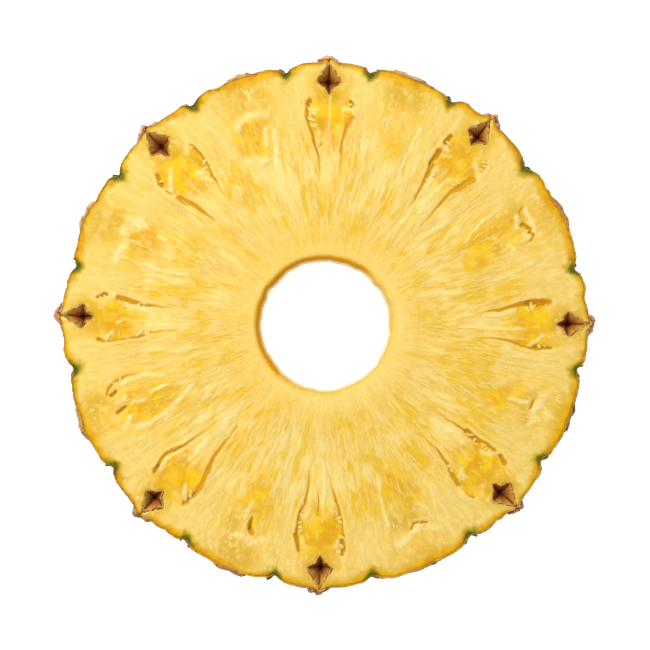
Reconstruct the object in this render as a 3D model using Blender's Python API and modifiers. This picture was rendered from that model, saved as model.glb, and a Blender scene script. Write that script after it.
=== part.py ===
"""Pineapple ring: one slice of raw pineapple, rind on, with its core cut out. Metres, +Z up.

The slice lies flat with its underside at z = 0 and the axis of its hole on Z. It is one solid:
a turned ring whose outer side takes the relief of the fruitlets, with the star-shaped eye pits
and the seed pockets beside them cut into the two faces.
"""

import math

import bmesh
import bpy
from mathutils import Matrix, Vector

MM = 0.001
THICKNESS = 13.0 * MM
RIND_RADIUS = 59.3 * MM
HOLE_RADIUS = 15.2 * MM
HOLE_WAVER = 0.12 * MM
HOLE_WAVES = ((3, 1.0), (7, 0.6))      # waves round the hole, and each one's share of the waver
HOLE_EDGE = 0.5 * MM
RIND_EDGE = 0.3 * MM
TURN_STEPS = 240
SIDE_LEVELS = 6
SHARP_ANGLE = 35.0

# Where each fruitlet sits round the slice, in degrees. Those with an even index have their eye
# cut open on the top face, the others on the underside.
FRUITLET_ANGLES = (
    0.2, 25.1, 51.0, 70.3, 89.0, 108.8, 132.7, 155.4,
    177.8, 202.0, 225.6, 248.6, 268.7, 292.5, 316.5, 339.5,
)

# Relief of the rind. A fruitlet narrows away from the face that opens its eye, by FRUITLET_SLANT
# on each side, and its dry tip stands out near that face.
FRUITLET_SLANT = 4.0
DOME_HEIGHT = 0.75 * MM
DOME_FALL = 0.3
GROOVE_DEPTH = 0.9 * MM
GROOVE_WIDTH = 0.13
TIP_HEIGHT = 1.15 * MM
EYE_TIP_WIDTH = 0.13
BODY_TIP_WIDTH = 0.26
TIP_REACH = 0.32
TIP_LEVEL = 0.88
BODY_TIP_LEVEL = 0.30

# An eye is a four-pointed pit. Its points reach along and across the slice's radius.
EYE_RADIUS = 55.1 * MM
EYE_INWARD = 3.2 * MM
EYE_OUTWARD = 3.9 * MM
EYE_ACROSS = 2.6 * MM
EYE_HOLLOW = 0.52
EYE_DEPTH = 3.8 * MM
EYE_FLOOR = 0.12
EYE_UNEVENNESS = 0.09
CUTTER_RISE = 1.0 * MM

# Two seed pockets flank each opened fruitlet, a little nearer the core than its eye.
POCKET_INWARD = 5.3 * MM
POCKET_ASIDE = 4.9 * MM
POCKET_LENGTH = 2.4 * MM
POCKET_WIDTH = 1.3 * MM
POCKET_DEPTH = 1.6 * MM
POCKET_SPLAY = 14.0

FLESH_COLOUR = (0.93, 0.64, 0.14, 1.0)


def clear_scene():
    for obj in list(bpy.data.objects):
        bpy.data.objects.remove(obj)


def collection_named(name):
    made = bpy.data.collections.new(name)
    bpy.context.scene.collection.children.link(made)
    return made


def principled(name, colour, roughness):
    material = bpy.data.materials.new(name)
    material.use_nodes = True
    shader = material.node_tree.nodes["Principled BSDF"]
    shader.inputs["Base Color"].default_value = colour
    shader.inputs["Roughness"].default_value = roughness
    shader.inputs["Metallic"].default_value = 0.0
    return material


def bell(distance, width):
    """1 at no distance, falling smoothly to nothing over a few widths."""
    return math.exp(-((distance / width) ** 2))


def opens_on_top(index):
    return index % 2 == 0


def border_after(index, level):
    """Angle in degrees of the groove between a fruitlet and the next one, at a level from 0 to 1."""
    here = FRUITLET_ANGLES[index]
    following = FRUITLET_ANGLES[(index + 1) % len(FRUITLET_ANGLES)]
    gap = (following - here) % 360.0
    lean = FRUITLET_SLANT * (level - 1.0)
    return here + gap / 2 + (lean if opens_on_top(index) else -lean)


def fruitlet_at(angle, level):
    """The fruitlet that covers a place on the rind, and how far off its middle that is, -1 to 1."""
    for index, middle in enumerate(FRUITLET_ANGLES):
        before = border_after(index - 1, level)
        offset = (angle - middle + 180.0) % 360.0 - 180.0
        half = (border_after(index, level) - middle) % 360.0
        if offset < 0:
            half = (middle - before) % 360.0
        if abs(offset) <= half:
            return index, offset / half
    return 0, 1.0


def rind_radius(angle, level):
    """Outer radius at an angle in degrees and a level from 0, the underside, to 1, the top."""
    index, across = fruitlet_at(angle, level)
    tip_level, tip_width = TIP_LEVEL, EYE_TIP_WIDTH
    if not opens_on_top(index):
        tip_level, tip_width = BODY_TIP_LEVEL, BODY_TIP_WIDTH
    dome = DOME_HEIGHT * (1.0 - abs(across) ** 3) * (1.0 - DOME_FALL * (level - tip_level) ** 2)
    groove = GROOVE_DEPTH * bell(1.0 - abs(across), GROOVE_WIDTH)
    tip = TIP_HEIGHT * bell(across, tip_width) * bell(level - tip_level, TIP_REACH)
    return RIND_RADIUS + dome - groove + tip


def hole_radius(angle):
    """Radius of the cut hole, which wavers a little as a hand-held cutter leaves it."""
    turn = math.radians(angle)
    return HOLE_RADIUS + HOLE_WAVER * sum(share * math.sin(waves * turn) for waves, share in HOLE_WAVES)


def ring_profile():
    """The ring's section at +X as (radius, height) points, down the outer side and up the hole."""
    side = [
        (RIND_RADIUS, THICKNESS - RIND_EDGE - step * (THICKNESS - 2 * RIND_EDGE) / SIDE_LEVELS)
        for step in range(SIDE_LEVELS + 1)
    ]
    return [
        (RIND_RADIUS - RIND_EDGE, THICKNESS),
        *side,
        (RIND_RADIUS - RIND_EDGE, 0.0),
        (HOLE_RADIUS + HOLE_EDGE, 0.0),
        (HOLE_RADIUS, HOLE_EDGE),
        (HOLE_RADIUS, THICKNESS - HOLE_EDGE),
        (HOLE_RADIUS + HOLE_EDGE, THICKNESS),
    ]


def turned_mesh(profile, steps):
    """The closed profile turned round Z with a Screw modifier, as a plain mesh."""
    mesh = bpy.data.meshes.new("ring_section")
    edges = [(i, (i + 1) % len(profile)) for i in range(len(profile))]
    mesh.from_pydata([(radius, 0.0, height) for radius, height in profile], edges, [])
    guide = bpy.data.objects.new("ring_section", mesh)
    bpy.context.scene.collection.objects.link(guide)
    screw = guide.modifiers.new("Turn", "SCREW")
    screw.steps = steps
    screw.render_steps = steps
    screw.use_merge_vertices = True
    screw.merge_threshold = 0.00001
    graph = bpy.context.evaluated_depsgraph_get()
    turned = bpy.data.meshes.new_from_object(guide.evaluated_get(graph))
    bpy.data.objects.remove(guide)
    return turned


def take_relief(mesh):
    """Moves each point of the turned ring out or in, so that its sides get their true outline."""
    middle = (RIND_RADIUS + HOLE_RADIUS) / 2
    for vertex in mesh.vertices:
        radius = math.hypot(vertex.co.x, vertex.co.y)
        angle = math.degrees(math.atan2(vertex.co.y, vertex.co.x)) % 360.0
        if radius > middle:
            moved = radius + rind_radius(angle, vertex.co.z / THICKNESS) - RIND_RADIUS
        else:
            moved = radius + hole_radius(angle) - HOLE_RADIUS
        vertex.co.x *= moved / radius
        vertex.co.y *= moved / radius


def face_frame(angle, top):
    """Frame on a face of the slice: X points outwards along the radius, Z out of the face."""
    turn = Matrix.Rotation(math.radians(angle), 4, "Z")
    if top:
        return turn @ Matrix.Translation((0.0, 0.0, THICKNESS))
    return turn @ Matrix.Rotation(math.pi, 4, "X")


def eye_size(index):
    """How large a fruitlet's eye is: no two alike, all within EYE_UNEVENNESS of the usual size."""
    return 1.0 + EYE_UNEVENNESS * math.sin(math.radians(FRUITLET_ANGLES[index]) * len(FRUITLET_ANGLES) / 3)


def eye_cutter(name, angle, top, size):
    """A four-pointed pyramid: an eight-sided cone whose points and hollows are set in turn.

    It stands CUTTER_RISE out of the face, and is wider there, so that it has its size at the face.
    """
    mesh = bpy.data.meshes.new(name)
    shape = bmesh.new()
    bmesh.ops.create_cone(shape, cap_ends=True, segments=8, radius1=1.0, radius2=1.0, depth=2.0)
    reaches = (EYE_OUTWARD, EYE_ACROSS, EYE_INWARD, EYE_ACROSS)
    for vertex in shape.verts:
        eighth = round(math.degrees(math.atan2(vertex.co.y, vertex.co.x)) / 45.0) % 8
        if eighth % 2 == 0:
            reach = reaches[eighth // 2]
        else:
            reach = EYE_HOLLOW * (reaches[eighth // 2] + reaches[(eighth // 2 + 1) % 4]) / 2
        deep = vertex.co.z < 0
        reach *= size * (EYE_FLOOR if deep else 1.0 + (1.0 - EYE_FLOOR) * CUTTER_RISE / EYE_DEPTH)
        along = Vector((vertex.co.x, vertex.co.y, 0.0)).normalized() * reach
        vertex.co = (along.x, along.y, -EYE_DEPTH if deep else CUTTER_RISE)
    shape.to_mesh(mesh)
    shape.free()
    cutter = bpy.data.objects.new(name, mesh)
    cutter.matrix_world = face_frame(angle, top) @ Matrix.Translation((EYE_RADIUS, 0.0, 0.0))
    return cutter


def pocket_cutter(name, angle, top, side):
    """A small egg set along the radius, sunk into the face beside a fruitlet."""
    mesh = bpy.data.meshes.new(name)
    shape = bmesh.new()
    bmesh.ops.create_uvsphere(shape, u_segments=10, v_segments=6, radius=1.0)
    bmesh.ops.scale(shape, vec=(POCKET_LENGTH / 2, POCKET_WIDTH / 2, POCKET_DEPTH), verts=shape.verts)
    shape.to_mesh(mesh)
    shape.free()
    cutter = bpy.data.objects.new(name, mesh)
    place = Matrix.Translation((EYE_RADIUS - POCKET_INWARD, side * POCKET_ASIDE, 0.0))
    splay = Matrix.Rotation(math.radians(side * POCKET_SPLAY), 4, "Z")
    cutter.matrix_world = face_frame(angle, top) @ place @ splay
    return cutter


def cut_with(obj, cutter, cutters):
    """Takes the cutter out of the object with an EXACT Boolean, and keeps the cutter hidden."""
    cutters.objects.link(cutter)
    cutter.hide_render = True
    cutter.display_type = "WIRE"
    boolean = obj.modifiers.new(cutter.name, "BOOLEAN")
    boolean.operation = "DIFFERENCE"
    boolean.solver = "EXACT"
    boolean.object = cutter


def main():
    clear_scene()
    parts = collection_named("pineapple_ring")
    cutters = collection_named("cutters")

    mesh = turned_mesh(ring_profile(), TURN_STEPS)
    take_relief(mesh)
    ring = bpy.data.objects.new("pineapple_ring", mesh)
    parts.objects.link(ring)
    ring.data.materials.append(principled("pineapple_flesh", FLESH_COLOUR, 0.3))
    ring.data.shade_smooth()
    ring.data.set_sharp_from_angle(angle=math.radians(SHARP_ANGLE))

    for index, angle in enumerate(FRUITLET_ANGLES):
        top = opens_on_top(index)
        eye = eye_cutter(f"eye_cutter_{index}", angle, top, eye_size(index))
        cut_with(ring, eye, cutters)
        for side in (-1, 1):
            hand = "left" if side > 0 else "right"
            pocket = pocket_cutter(f"pocket_cutter_{index}_{hand}", angle, top, side)
            cut_with(ring, pocket, cutters)
    cutters.hide_render = True


main()
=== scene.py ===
"""A slice of raw pineapple, rind on and core cut out, lying in a plain studio. Metres, +Z up.

The slice lies flat. Its flesh is two halves, upper and lower, whose faces carry the fibres, the
golden pulp, the seed pockets and the slits as relief. The rind, the dry scales on it, the linings
of the eyes, the ovules in the pockets and the fibres that stand out are pieces of their own.
"""

import math
from types import SimpleNamespace

import bpy
import numpy as np
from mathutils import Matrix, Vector


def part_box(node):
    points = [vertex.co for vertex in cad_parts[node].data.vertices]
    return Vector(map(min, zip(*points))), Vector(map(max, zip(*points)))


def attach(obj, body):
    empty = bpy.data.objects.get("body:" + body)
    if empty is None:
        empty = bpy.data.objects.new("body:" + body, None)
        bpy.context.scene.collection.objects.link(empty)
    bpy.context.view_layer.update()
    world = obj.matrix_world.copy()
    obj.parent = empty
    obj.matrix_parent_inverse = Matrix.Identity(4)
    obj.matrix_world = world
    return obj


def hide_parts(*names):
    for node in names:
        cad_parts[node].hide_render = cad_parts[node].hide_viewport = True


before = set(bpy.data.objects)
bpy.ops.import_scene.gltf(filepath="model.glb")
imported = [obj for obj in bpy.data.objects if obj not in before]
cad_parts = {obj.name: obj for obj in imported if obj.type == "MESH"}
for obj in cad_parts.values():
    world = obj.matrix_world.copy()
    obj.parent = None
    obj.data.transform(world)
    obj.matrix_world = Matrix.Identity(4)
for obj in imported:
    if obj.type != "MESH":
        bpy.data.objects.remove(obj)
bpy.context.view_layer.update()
CAD_NODE = "pineapple_ring"
BODY = "root"
lowest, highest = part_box(CAD_NODE)

MM = 0.001
THICKNESS = highest.z - lowest.z
MIDDLE = lowest.z + THICKNESS / 2

# The slice's outline, as the solid has it: a round of RIND_RADIUS, domed at each fruitlet, grooved
# between them and pointed at their dry tips.
RIND_RADIUS = 59.3 * MM
RIND_THICKNESS = 0.42 * MM
HOLE_RADIUS = 15.2 * MM
HOLE_WAVER = 0.12 * MM
HOLE_ROUNDING = 1.8 * MM
HOLE_BULGE = 0.3 * MM
FRUITLET_ANGLES = np.array([
    0.2, 25.1, 51.0, 70.3, 89.0, 108.8, 132.7, 155.4,
    177.8, 202.0, 225.6, 248.6, 268.7, 292.5, 316.5, 339.5,
])
FRUITLETS = len(FRUITLET_ANGLES)
GAPS = (np.roll(FRUITLET_ANGLES, -1) - FRUITLET_ANGLES) % 360.0
SLANT = 4.0
DOME_HEIGHT = 0.75 * MM
DOME_FALL = 0.3
GROOVE_DEPTH = 0.9 * MM
GROOVE_WIDTH = 0.13
TIP_HEIGHT = 1.15 * MM
TIP_REACH = 0.32
EYE_TIP_WIDTH, EYE_TIP_LEVEL = 0.13, 0.88
BODY_TIP_WIDTH, BODY_TIP_LEVEL = 0.26, 0.30

# An eye is a pit with four points. Places near a fruitlet are given in millimetres from where its
# eye's points cross: inward, towards the core, and aside, towards the next fruitlet round.
EYE_RADIUS = 55.4 * MM
EYE_OUTWARD = 4.2
EYE_ACROSS = 2.7
EYE_INWARD = 2.6
EYE_OUTER_HOLLOW = 2.25
EYE_INNER_HOLLOW = 1.35
EYE_DEPTH = 2.5 * MM
EYE_WELL = 5.0 * MM

FACE_COLUMNS = 1120


# ---------------------------------------------------------------- numbers that vary over a surface

def ease(start, end, value):
    """0 before start, 1 past end, and 3t^2 - 2t^3 between them."""
    t = np.clip((value - start) / (end - start), 0.0, 1.0)
    return t * t * (3.0 - 2.0 * t)


def bell(distance, width):
    """1 at no distance, falling to nothing over a few widths: exp(-(distance / width)^2)."""
    return np.exp(-((distance / width) ** 2))


def scatter(column, row, seed):
    """A fixed number from 0 to 1 for each cell of a lattice, mixed from its two whole numbers."""
    mixed = (column * 374761393 + row * 668265263 + seed * 974634777) & 0xFFFFFFFF
    mixed = ((mixed ^ (mixed >> 13)) * 1274126177) & 0xFFFFFFFF
    return ((mixed ^ (mixed >> 16)) & 0xFFFF) / 65535.0


def drift(across, along, seed, turns=None):
    """Smooth noise from -1 to 1: the numbers at a cell's corners, blended across and along.

    turns, where given, is the whole number of cells after which the noise repeats across.
    """
    column = np.floor(across).astype(np.int64)
    row = np.floor(along).astype(np.int64)
    u = ease(0.0, 1.0, across - column)
    v = ease(0.0, 1.0, along - row)
    following = column + 1
    if turns:
        column = column % turns
        following = following % turns
    near = scatter(column, row, seed) * (1 - u) + scatter(following, row, seed) * u
    far = scatter(column, row + 1, seed) * (1 - u) + scatter(following, row + 1, seed) * u
    return (near * (1 - v) + far * v) * 2.0 - 1.0


def mottle(x, y, size, seed):
    """Patches about size across on a flat face: three octaves of drift, each half the last."""
    return sum(drift(x / size * 2 ** k, y / size * 2 ** k, seed + k) / 2 ** k for k in range(3)) / 1.75


# ---------------------------------------------------------------------------- the slice's outline

def place_on_rind(angle, level):
    """Which fruitlet covers each place, and how far off its middle that is, from -1 to 1.

    The groove after a fruitlet lies halfway to the next one at the face that opens its eye, and
    SLANT degrees nearer to its middle at the other face.
    """
    lean = SLANT * (level - 1.0)
    index = np.zeros(angle.shape, np.int64)
    across = np.ones(angle.shape)
    for i in range(FRUITLETS):
        offset = (angle - FRUITLET_ANGLES[i] + 180.0) % 360.0 - 180.0
        sign = 1.0 if i % 2 == 0 else -1.0
        after = GAPS[i] / 2 + sign * lean
        before = GAPS[i - 1] / 2 + sign * lean
        half = np.where(offset >= 0, after, before)
        here = np.abs(offset) <= half
        index[here] = i
        across[here] = (offset / half)[here]
    return index, across


def rind_radius(angle, level):
    """Outer radius: RIND_RADIUS, plus a dome and a dry tip on each fruitlet, less the grooves."""
    index, across = place_on_rind(angle, level)
    eye = index % 2 == 0
    tip_level = np.where(eye, EYE_TIP_LEVEL, BODY_TIP_LEVEL)
    tip_width = np.where(eye, EYE_TIP_WIDTH, BODY_TIP_WIDTH)
    dome = DOME_HEIGHT * (1.0 - np.abs(across) ** 3) * (1.0 - DOME_FALL * (level - tip_level) ** 2)
    groove = GROOVE_DEPTH * bell(1.0 - np.abs(across), GROOVE_WIDTH)
    tip = TIP_HEIGHT * bell(across, tip_width) * bell(level - tip_level, TIP_REACH)
    return RIND_RADIUS + dome - groove + tip + ragged(angle, level)


def ragged(angle, level):
    """How far the skin strays from its even outline in metres: knobs 3 mm and 1 mm across."""
    arc = angle / 360.0
    high = level * THICKNESS / MM
    knobs = drift(arc * 126, high / 3.0, 51, 126)
    crumbs = drift(arc * 340, high / 1.2, 52, 340)
    return (0.34 * knobs + 0.34 * crumbs * np.abs(knobs)) * MM


def hole_radius(angle):
    """Radius of the cut hole, with three slow waves and seven small ones round it."""
    turn = np.radians(angle)
    return HOLE_RADIUS + HOLE_WAVER * (np.sin(3 * turn) + 0.6 * np.sin(7 * turn))


def eye_outline(turn):
    """Distance from an eye's crossing to its edge in mm, at a turn in radians from outward.

    The edge goes through eight marks, the four points and the hollows between them. Between
    marks 1/distance changes evenly with the turn, which keeps the sides nearly straight.
    """
    marks = np.array([EYE_OUTWARD, EYE_OUTER_HOLLOW, EYE_ACROSS, EYE_INNER_HOLLOW, EYE_INWARD,
                      EYE_INNER_HOLLOW, EYE_ACROSS, EYE_OUTER_HOLLOW, EYE_OUTWARD])
    eighths = (turn % (2 * math.pi)) / (math.pi / 4)
    return 1.0 / np.interp(eighths, np.arange(9), 1.0 / marks)


# -------------------------------------------------------------------- what each fruitlet looks like

# A stroke is a kind of mark, its half width at its start and at its end, and the points it runs
# through, each (inward, aside) in mm. Even looks are fruitlets cut through the eye, odd ones between.
LOOKS = (
    (
        ("gold", 3.4, 2.6, (5.0, 0.5), (9.0, 0.3), (14.0, 0.0)),
        ("slit", 0.9, 0.25, (4.6, 5.0), (8.0, 4.9), (12.0, 4.4), (16.0, 3.3), (21.0, 2.5)),
        ("pocket", 0.75, 0.95, (5.2, 4.9), (9.0, 4.8)),
        ("slit", 0.35, 0.15, (7.6, -5.6), (12.0, -4.3), (16.0, -3.2), (20.5, -2.9)),
        ("pocket", 0.35, 0.8, (3.9, -5.3), (7.2, -5.4)),
        ("cream", 0.5, 0.3, (6.0, -2.6), (7.2, -3.6), (9.2, -4.9)),
        ("cream", 0.7, 0.4, (12.0, 3.1), (15.0, 2.5), (19.0, 1.7)),
        ("cream", 0.6, 0.4, (3.2, 4.6), (4.6, 4.0)),
        ("cream", 0.3, 0.2, (10.0, -1.1), (16.0, -0.9), (24.0, -0.6)),
        ("stain", 2.4, 1.2, (20.5, 7.2), (26.0, 6.6)),
        ("stain", 1.8, 1.0, (20.0, -7.6), (27.0, -5.6)),
    ),
    (
        ("gold", 3.4, 3.2, (8.0, 2.5), (12.0, 1.5), (16.0, -0.2)),
        ("shade", 1.4, 1.2, (4.9, 5.0), (5.6, 2.2)),
        ("pocket", 0.55, 0.4, (5.0, 1.5), (4.0, 0.0), (3.9, -0.7)),
        ("slit", 0.3, 0.2, (3.4, 5.2), (4.6, 4.5), (4.6, 3.2)),
        ("slit", 0.3, 0.3, (3.6, -1.2), (4.4, -2.2), (6.0, -2.4)),
        ("cream", 0.9, 0.7, (5.2, -1.0), (5.1, -2.4)),
        ("cream", 0.7, 0.6, (5.6, 3.6), (6.4, 1.6)),
        ("cream", 0.5, 0.5, (3.0, 4.4), (2.9, 2.0), (3.1, -0.6)),
        ("cream", 0.4, 0.2, (8.0, 7.2), (13.0, 6.0), (19.0, 3.6)),
        ("cream", 0.4, 0.2, (9.0, -2.6), (10.0, -1.0)),
        ("stain", 1.6, 0.8, (21.0, 6.6), (27.0, 5.4)),
        ("stain", 1.6, 1.0, (20.0, -7.8), (25.0, -6.4)),
    ),
    (
        ("gold", 3.0, 3.2, (4.0, 0.4), (8.0, 0.0), (13.0, 0.0)),
        ("pocket", 0.5, 0.7, (3.9, 4.6), (5.8, 5.0)),
        ("pocket", 0.9, 0.35, (8.2, 4.7), (11.8, 4.5)),
        ("slit", 0.6, 0.25, (11.5, 4.1), (15.0, 3.1), (18.0, 2.5), (22.0, 2.0)),
        ("slit", 0.25, 0.2, (3.3, -5.2), (4.6, -5.7), (6.2, -5.9)),
        ("slit", 0.9, 0.3, (8.4, -5.2), (11.0, -4.4), (15.0, -3.2), (24.0, -2.8)),
        ("cream", 0.7, 0.5, (6.6, 4.8), (6.8, 3.4)),
        ("cream", 0.6, 0.4, (5.4, -3.6), (6.6, -5.4)),
        ("cream", 0.6, 0.4, (11.6, 2.7), (14.0, 2.2), (18.0, 1.6)),
        ("cream", 0.4, 0.5, (12.0, -1.2), (16.0, -0.4), (21.0, 0.0)),
        ("cream", 0.3, 0.3, (7.6, 1.8), (8.6, 3.6)),
        ("stain", 1.4, 0.8, (23.0, 7.0), (28.0, 6.0)),
        ("stain", 1.6, 0.8, (21.0, -6.4), (27.0, -5.0)),
    ),
    (
        ("shade", 2.2, 2.0, (0.5, 2.0), (0.5, -2.5)),
        ("cream", 0.4, 0.2, (6.0, -5.4), (12.0, -4.6), (18.0, -4.4)),
        ("stain", 0.7, 0.5, (22.0, -4.0), (28.0, -3.0)),
        ("stain", 0.8, 0.5, (17.0, 9.2), (26.0, 8.0)),
    ),
    (
        ("gold", 2.8, 2.0, (4.0, 0.0), (9.0, -0.6), (15.0, -0.4)),
        ("pocket", 0.45, 0.75, (4.2, 4.3), (5.2, 4.6)),
        ("pocket", 0.35, 0.6, (4.1, -4.9), (5.2, -5.4)),
        ("slit", 0.45, 0.2, (6.2, 5.1), (9.0, 4.6), (13.0, 3.3), (17.0, 2.2), (23.0, 1.8)),
        ("slit", 0.55, 0.25, (8.0, -5.5), (10.5, -4.4), (14.0, -3.2), (19.0, -2.8)),
        ("cream", 0.5, 0.5, (6.2, 4.6), (6.2, 3.0)),
        ("cream", 0.5, 0.5, (7.8, 4.4), (7.2, 3.2)),
        ("cream", 0.45, 0.4, (10.2, 3.8), (9.8, 2.8)),
        ("cream", 0.4, 0.3, (11.0, 2.0), (13.6, 2.4)),
        ("cream", 0.6, 0.6, (6.0, -3.4), (6.0, -4.8)),
        ("cream", 0.2, 0.2, (3.0, -0.3), (9.0, -0.3), (14.0, -0.2)),
        ("stain", 1.0, 0.6, (25.0, 5.2), (30.0, 4.6)),
    ),
    (
        ("shade", 3.0, 2.6, (0.5, 3.0), (1.2, -1.0)),
        ("gold", 3.3, 3.0, (7.6, 1.6), (12.0, 2.4)),
        ("cream", 0.9, 0.8, (6.4, 4.6), (5.0, 3.0), (4.8, 0.4), (5.6, -2.6)),
        ("cream", 0.5, 0.5, (8.6, -1.6), (12.0, -0.8)),
        ("cream", 0.6, 0.5, (10.0, -3.4), (14.0, -2.4), (18.0, -1.2)),
        ("cream", 1.0, 0.9, (14.6, 4.4), (15.2, 2.4), (15.4, 0.4)),
        ("stain", 2.6, 1.6, (19.5, 6.2), (24.0, 5.0)),
        ("stain", 0.8, 0.5, (26.0, -5.0), (30.0, -4.6)),
    ),
    (
        ("gold", 3.4, 3.0, (5.0, -0.6), (9.0, -0.4), (13.0, 0.4)),
        ("pocket", 0.5, 0.65, (4.5, 5.0), (6.8, 5.8)),
        ("slit", 0.4, 0.2, (4.6, -5.5), (9.0, -5.5), (13.0, -4.4), (17.0, -3.2)),
        ("slit", 0.75, 0.35, (11.6, 4.8), (14.0, 3.9), (16.4, 3.0), (21.0, 2.4)),
        ("slit", 0.3, 0.3, (8.4, 5.9), (10.2, 5.2)),
        ("shade", 1.3, 1.0, (6.5, -4.2), (9.0, -4.4)),
        ("cream", 0.5, 0.7, (5.8, 2.0), (7.4, 3.6), (9.0, 5.0)),
        ("cream", 0.6, 0.5, (4.2, -4.6), (5.2, -3.4)),
        ("cream", 0.4, 0.4, (10.0, -2.0), (10.8, -3.2)),
        ("cream", 0.4, 0.4, (12.0, -2.4), (13.4, -3.6)),
        ("stain", 2.4, 1.6, (20.0, -7.8), (25.0, -6.6)),
    ),
    (
        ("shade", 3.0, 2.4, (-0.5, 1.0), (2.6, -1.6)),
        ("gold", 3.2, 2.8, (8.0, 2.2), (10.5, -1.6)),
        ("cream", 1.2, 1.6, (5.2, -0.2), (5.6, -2.4), (7.6, -3.6)),
        ("cream", 1.0, 1.1, (5.6, 6.4), (5.6, 4.4), (6.4, 2.4)),
        ("cream", 0.4, 0.3, (6.0, 1.2), (9.0, 0.8)),
        ("cream", 0.4, 0.3, (12.0, 4.4), (17.0, 4.2), (22.0, 2.8)),
        ("cream", 0.4, 0.3, (12.6, -2.6), (14.4, -2.4)),
    ),
    (
        ("gold", 3.2, 2.2, (5.0, 0.6), (9.0, 1.4), (14.0, 2.4)),
        ("pocket", 0.5, 0.35, (3.7, 5.3), (5.3, 5.7)),
        ("slit", 0.35, 0.2, (6.0, 5.6), (10.0, 5.0), (14.0, 4.0), (17.0, 3.0), (22.0, 2.4)),
        ("pocket", 0.3, 0.6, (3.4, -4.4), (5.2, -5.2)),
        ("slit", 0.7, 0.25, (8.2, -4.4), (10.5, -3.9), (14.0, -3.0), (19.0, -2.5)),
        ("cream", 0.6, 0.7, (4.4, -2.8), (5.8, -4.2), (7.4, -4.8)),
        ("cream", 0.7, 0.5, (5.6, 4.6), (7.0, 3.4)),
        ("cream", 0.6, 0.7, (9.6, -3.0), (12.0, -2.6), (16.0, -1.4)),
        ("cream", 0.3, 0.3, (8.0, 1.4), (9.4, 0.4)),
        ("cream", 0.6, 0.4, (15.0, 1.6), (20.0, 1.4)),
        ("stain", 1.2, 0.8, (13.0, -6.6), (20.0, -5.4)),
    ),
    (
        ("shade", 1.9, 1.9, (-0.6, -2.8), (0.8, -2.8)),
        ("gold", 4.2, 3.2, (8.6, 0.4), (12.0, 1.2), (16.0, 1.6)),
        ("slit", 0.35, 0.3, (3.6, -4.0), (5.4, -5.6), (8.4, -6.3), (12.0, -5.8)),
        ("pocket", 0.5, 0.3, (4.2, 1.0), (6.4, 0.2)),
        ("pocket", 0.4, 0.4, (4.4, -3.4), (5.6, -3.8)),
        ("cream", 0.5, 0.5, (5.0, -1.2), (7.0, -2.0)),
        ("cream", 0.5, 0.4, (7.4, -5.0), (12.0, -5.0), (17.0, -3.4)),
        ("cream", 0.6, 0.5, (7.0, 5.4), (9.0, 5.7), (14.0, 5.0), (18.0, 3.4), (22.0, 1.4)),
        ("cream", 0.6, 0.5, (4.4, 4.6), (6.6, 2.8)),
        ("cream", 0.4, 0.4, (13.0, -0.8), (17.0, -1.0)),
        ("cream", 0.3, 0.3, (7.6, 0.0), (10.8, 0.4)),
        ("stain", 1.0, 0.6, (20.0, 8.4), (27.0, 6.4)),
    ),
    (
        ("gold", 3.0, 2.2, (4.0, 0.4), (8.0, 0.6), (13.0, 0.4)),
        ("pocket", 0.6, 0.75, (4.0, 5.5), (7.0, 5.9)),
        ("slit", 0.7, 0.3, (8.2, 5.9), (11.0, 4.9), (14.0, 3.8), (18.0, 2.6), (25.0, 1.8)),
        ("pocket", 0.45, 0.5, (3.9, -4.4), (5.6, -5.0)),
        ("slit", 0.4, 0.3, (5.6, -5.1), (9.0, -5.3), (12.0, -4.4), (15.0, -3.4), (23.0, -2.1)),
        ("cream", 0.5, 0.5, (5.2, 4.9), (5.6, 3.8), (6.8, 3.0)),
        ("cream", 0.7, 0.4, (5.6, -4.0), (8.4, -4.5), (12.0, -3.6)),
        ("cream", 0.5, 0.7, (12.0, -0.6), (17.0, -0.8), (24.0, -0.4)),
        ("cream", 0.4, 0.3, (8.2, 7.0), (7.0, 6.2)),
        ("stain", 0.9, 0.7, (22.0, -6.0), (28.0, -5.0)),
    ),
    (
        ("shade", 2.6, 2.6, (-0.6, 2.0), (-0.2, -2.0)),
        ("shade", 1.3, 1.0, (4.8, -3.0), (7.5, -3.2)),
        ("gold", 2.8, 2.4, (9.0, 1.6), (14.0, 0.8)),
        ("pocket", 0.9, 0.5, (5.4, 1.6), (6.2, 0.8)),
        ("pocket", 0.5, 0.2, (6.0, 0.8), (8.4, 0.6)),
        ("cream", 0.8, 0.7, (4.6, 4.6), (3.6, 3.0), (3.4, 1.6)),
        ("cream", 0.7, 0.5, (3.8, -0.2), (3.6, -1.6)),
        ("cream", 0.5, 0.4, (8.0, -1.0), (12.0, -0.6)),
        ("cream", 0.4, 0.4, (15.0, 3.0), (17.6, 2.6)),
        ("stain", 1.2, 0.8, (20.0, 6.8), (26.0, 4.6)),
    ),
    (
        ("gold", 3.4, 2.4, (4.0, 0.6), (8.0, 0.6), (13.0, 1.6)),
        ("pocket", 0.4, 0.7, (3.3, 5.1), (6.2, 5.3)),
        ("slit", 0.35, 0.2, (7.0, 5.5), (12.0, 4.6), (16.0, 3.2), (21.0, 2.0)),
        ("pocket", 0.4, 0.7, (3.9, -5.0), (7.4, -5.4)),
        ("slit", 0.4, 0.25, (8.0, -5.3), (12.0, -4.8), (16.0, -3.2), (22.0, -2.7)),
        ("cream", 0.5, 0.4, (5.0, 3.6), (6.8, 4.9)),
        ("cream", 0.4, 0.4, (4.8, -3.6), (6.6, -4.2)),
        ("cream", 0.5, 0.4, (11.6, -4.0), (12.8, -2.8)),
        ("cream", 0.4, 0.4, (14.0, 0.6), (18.0, 0.8), (24.0, 0.4)),
        ("slit", 0.25, 0.2, (12.0, -0.4), (18.4, -0.6)),
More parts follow.
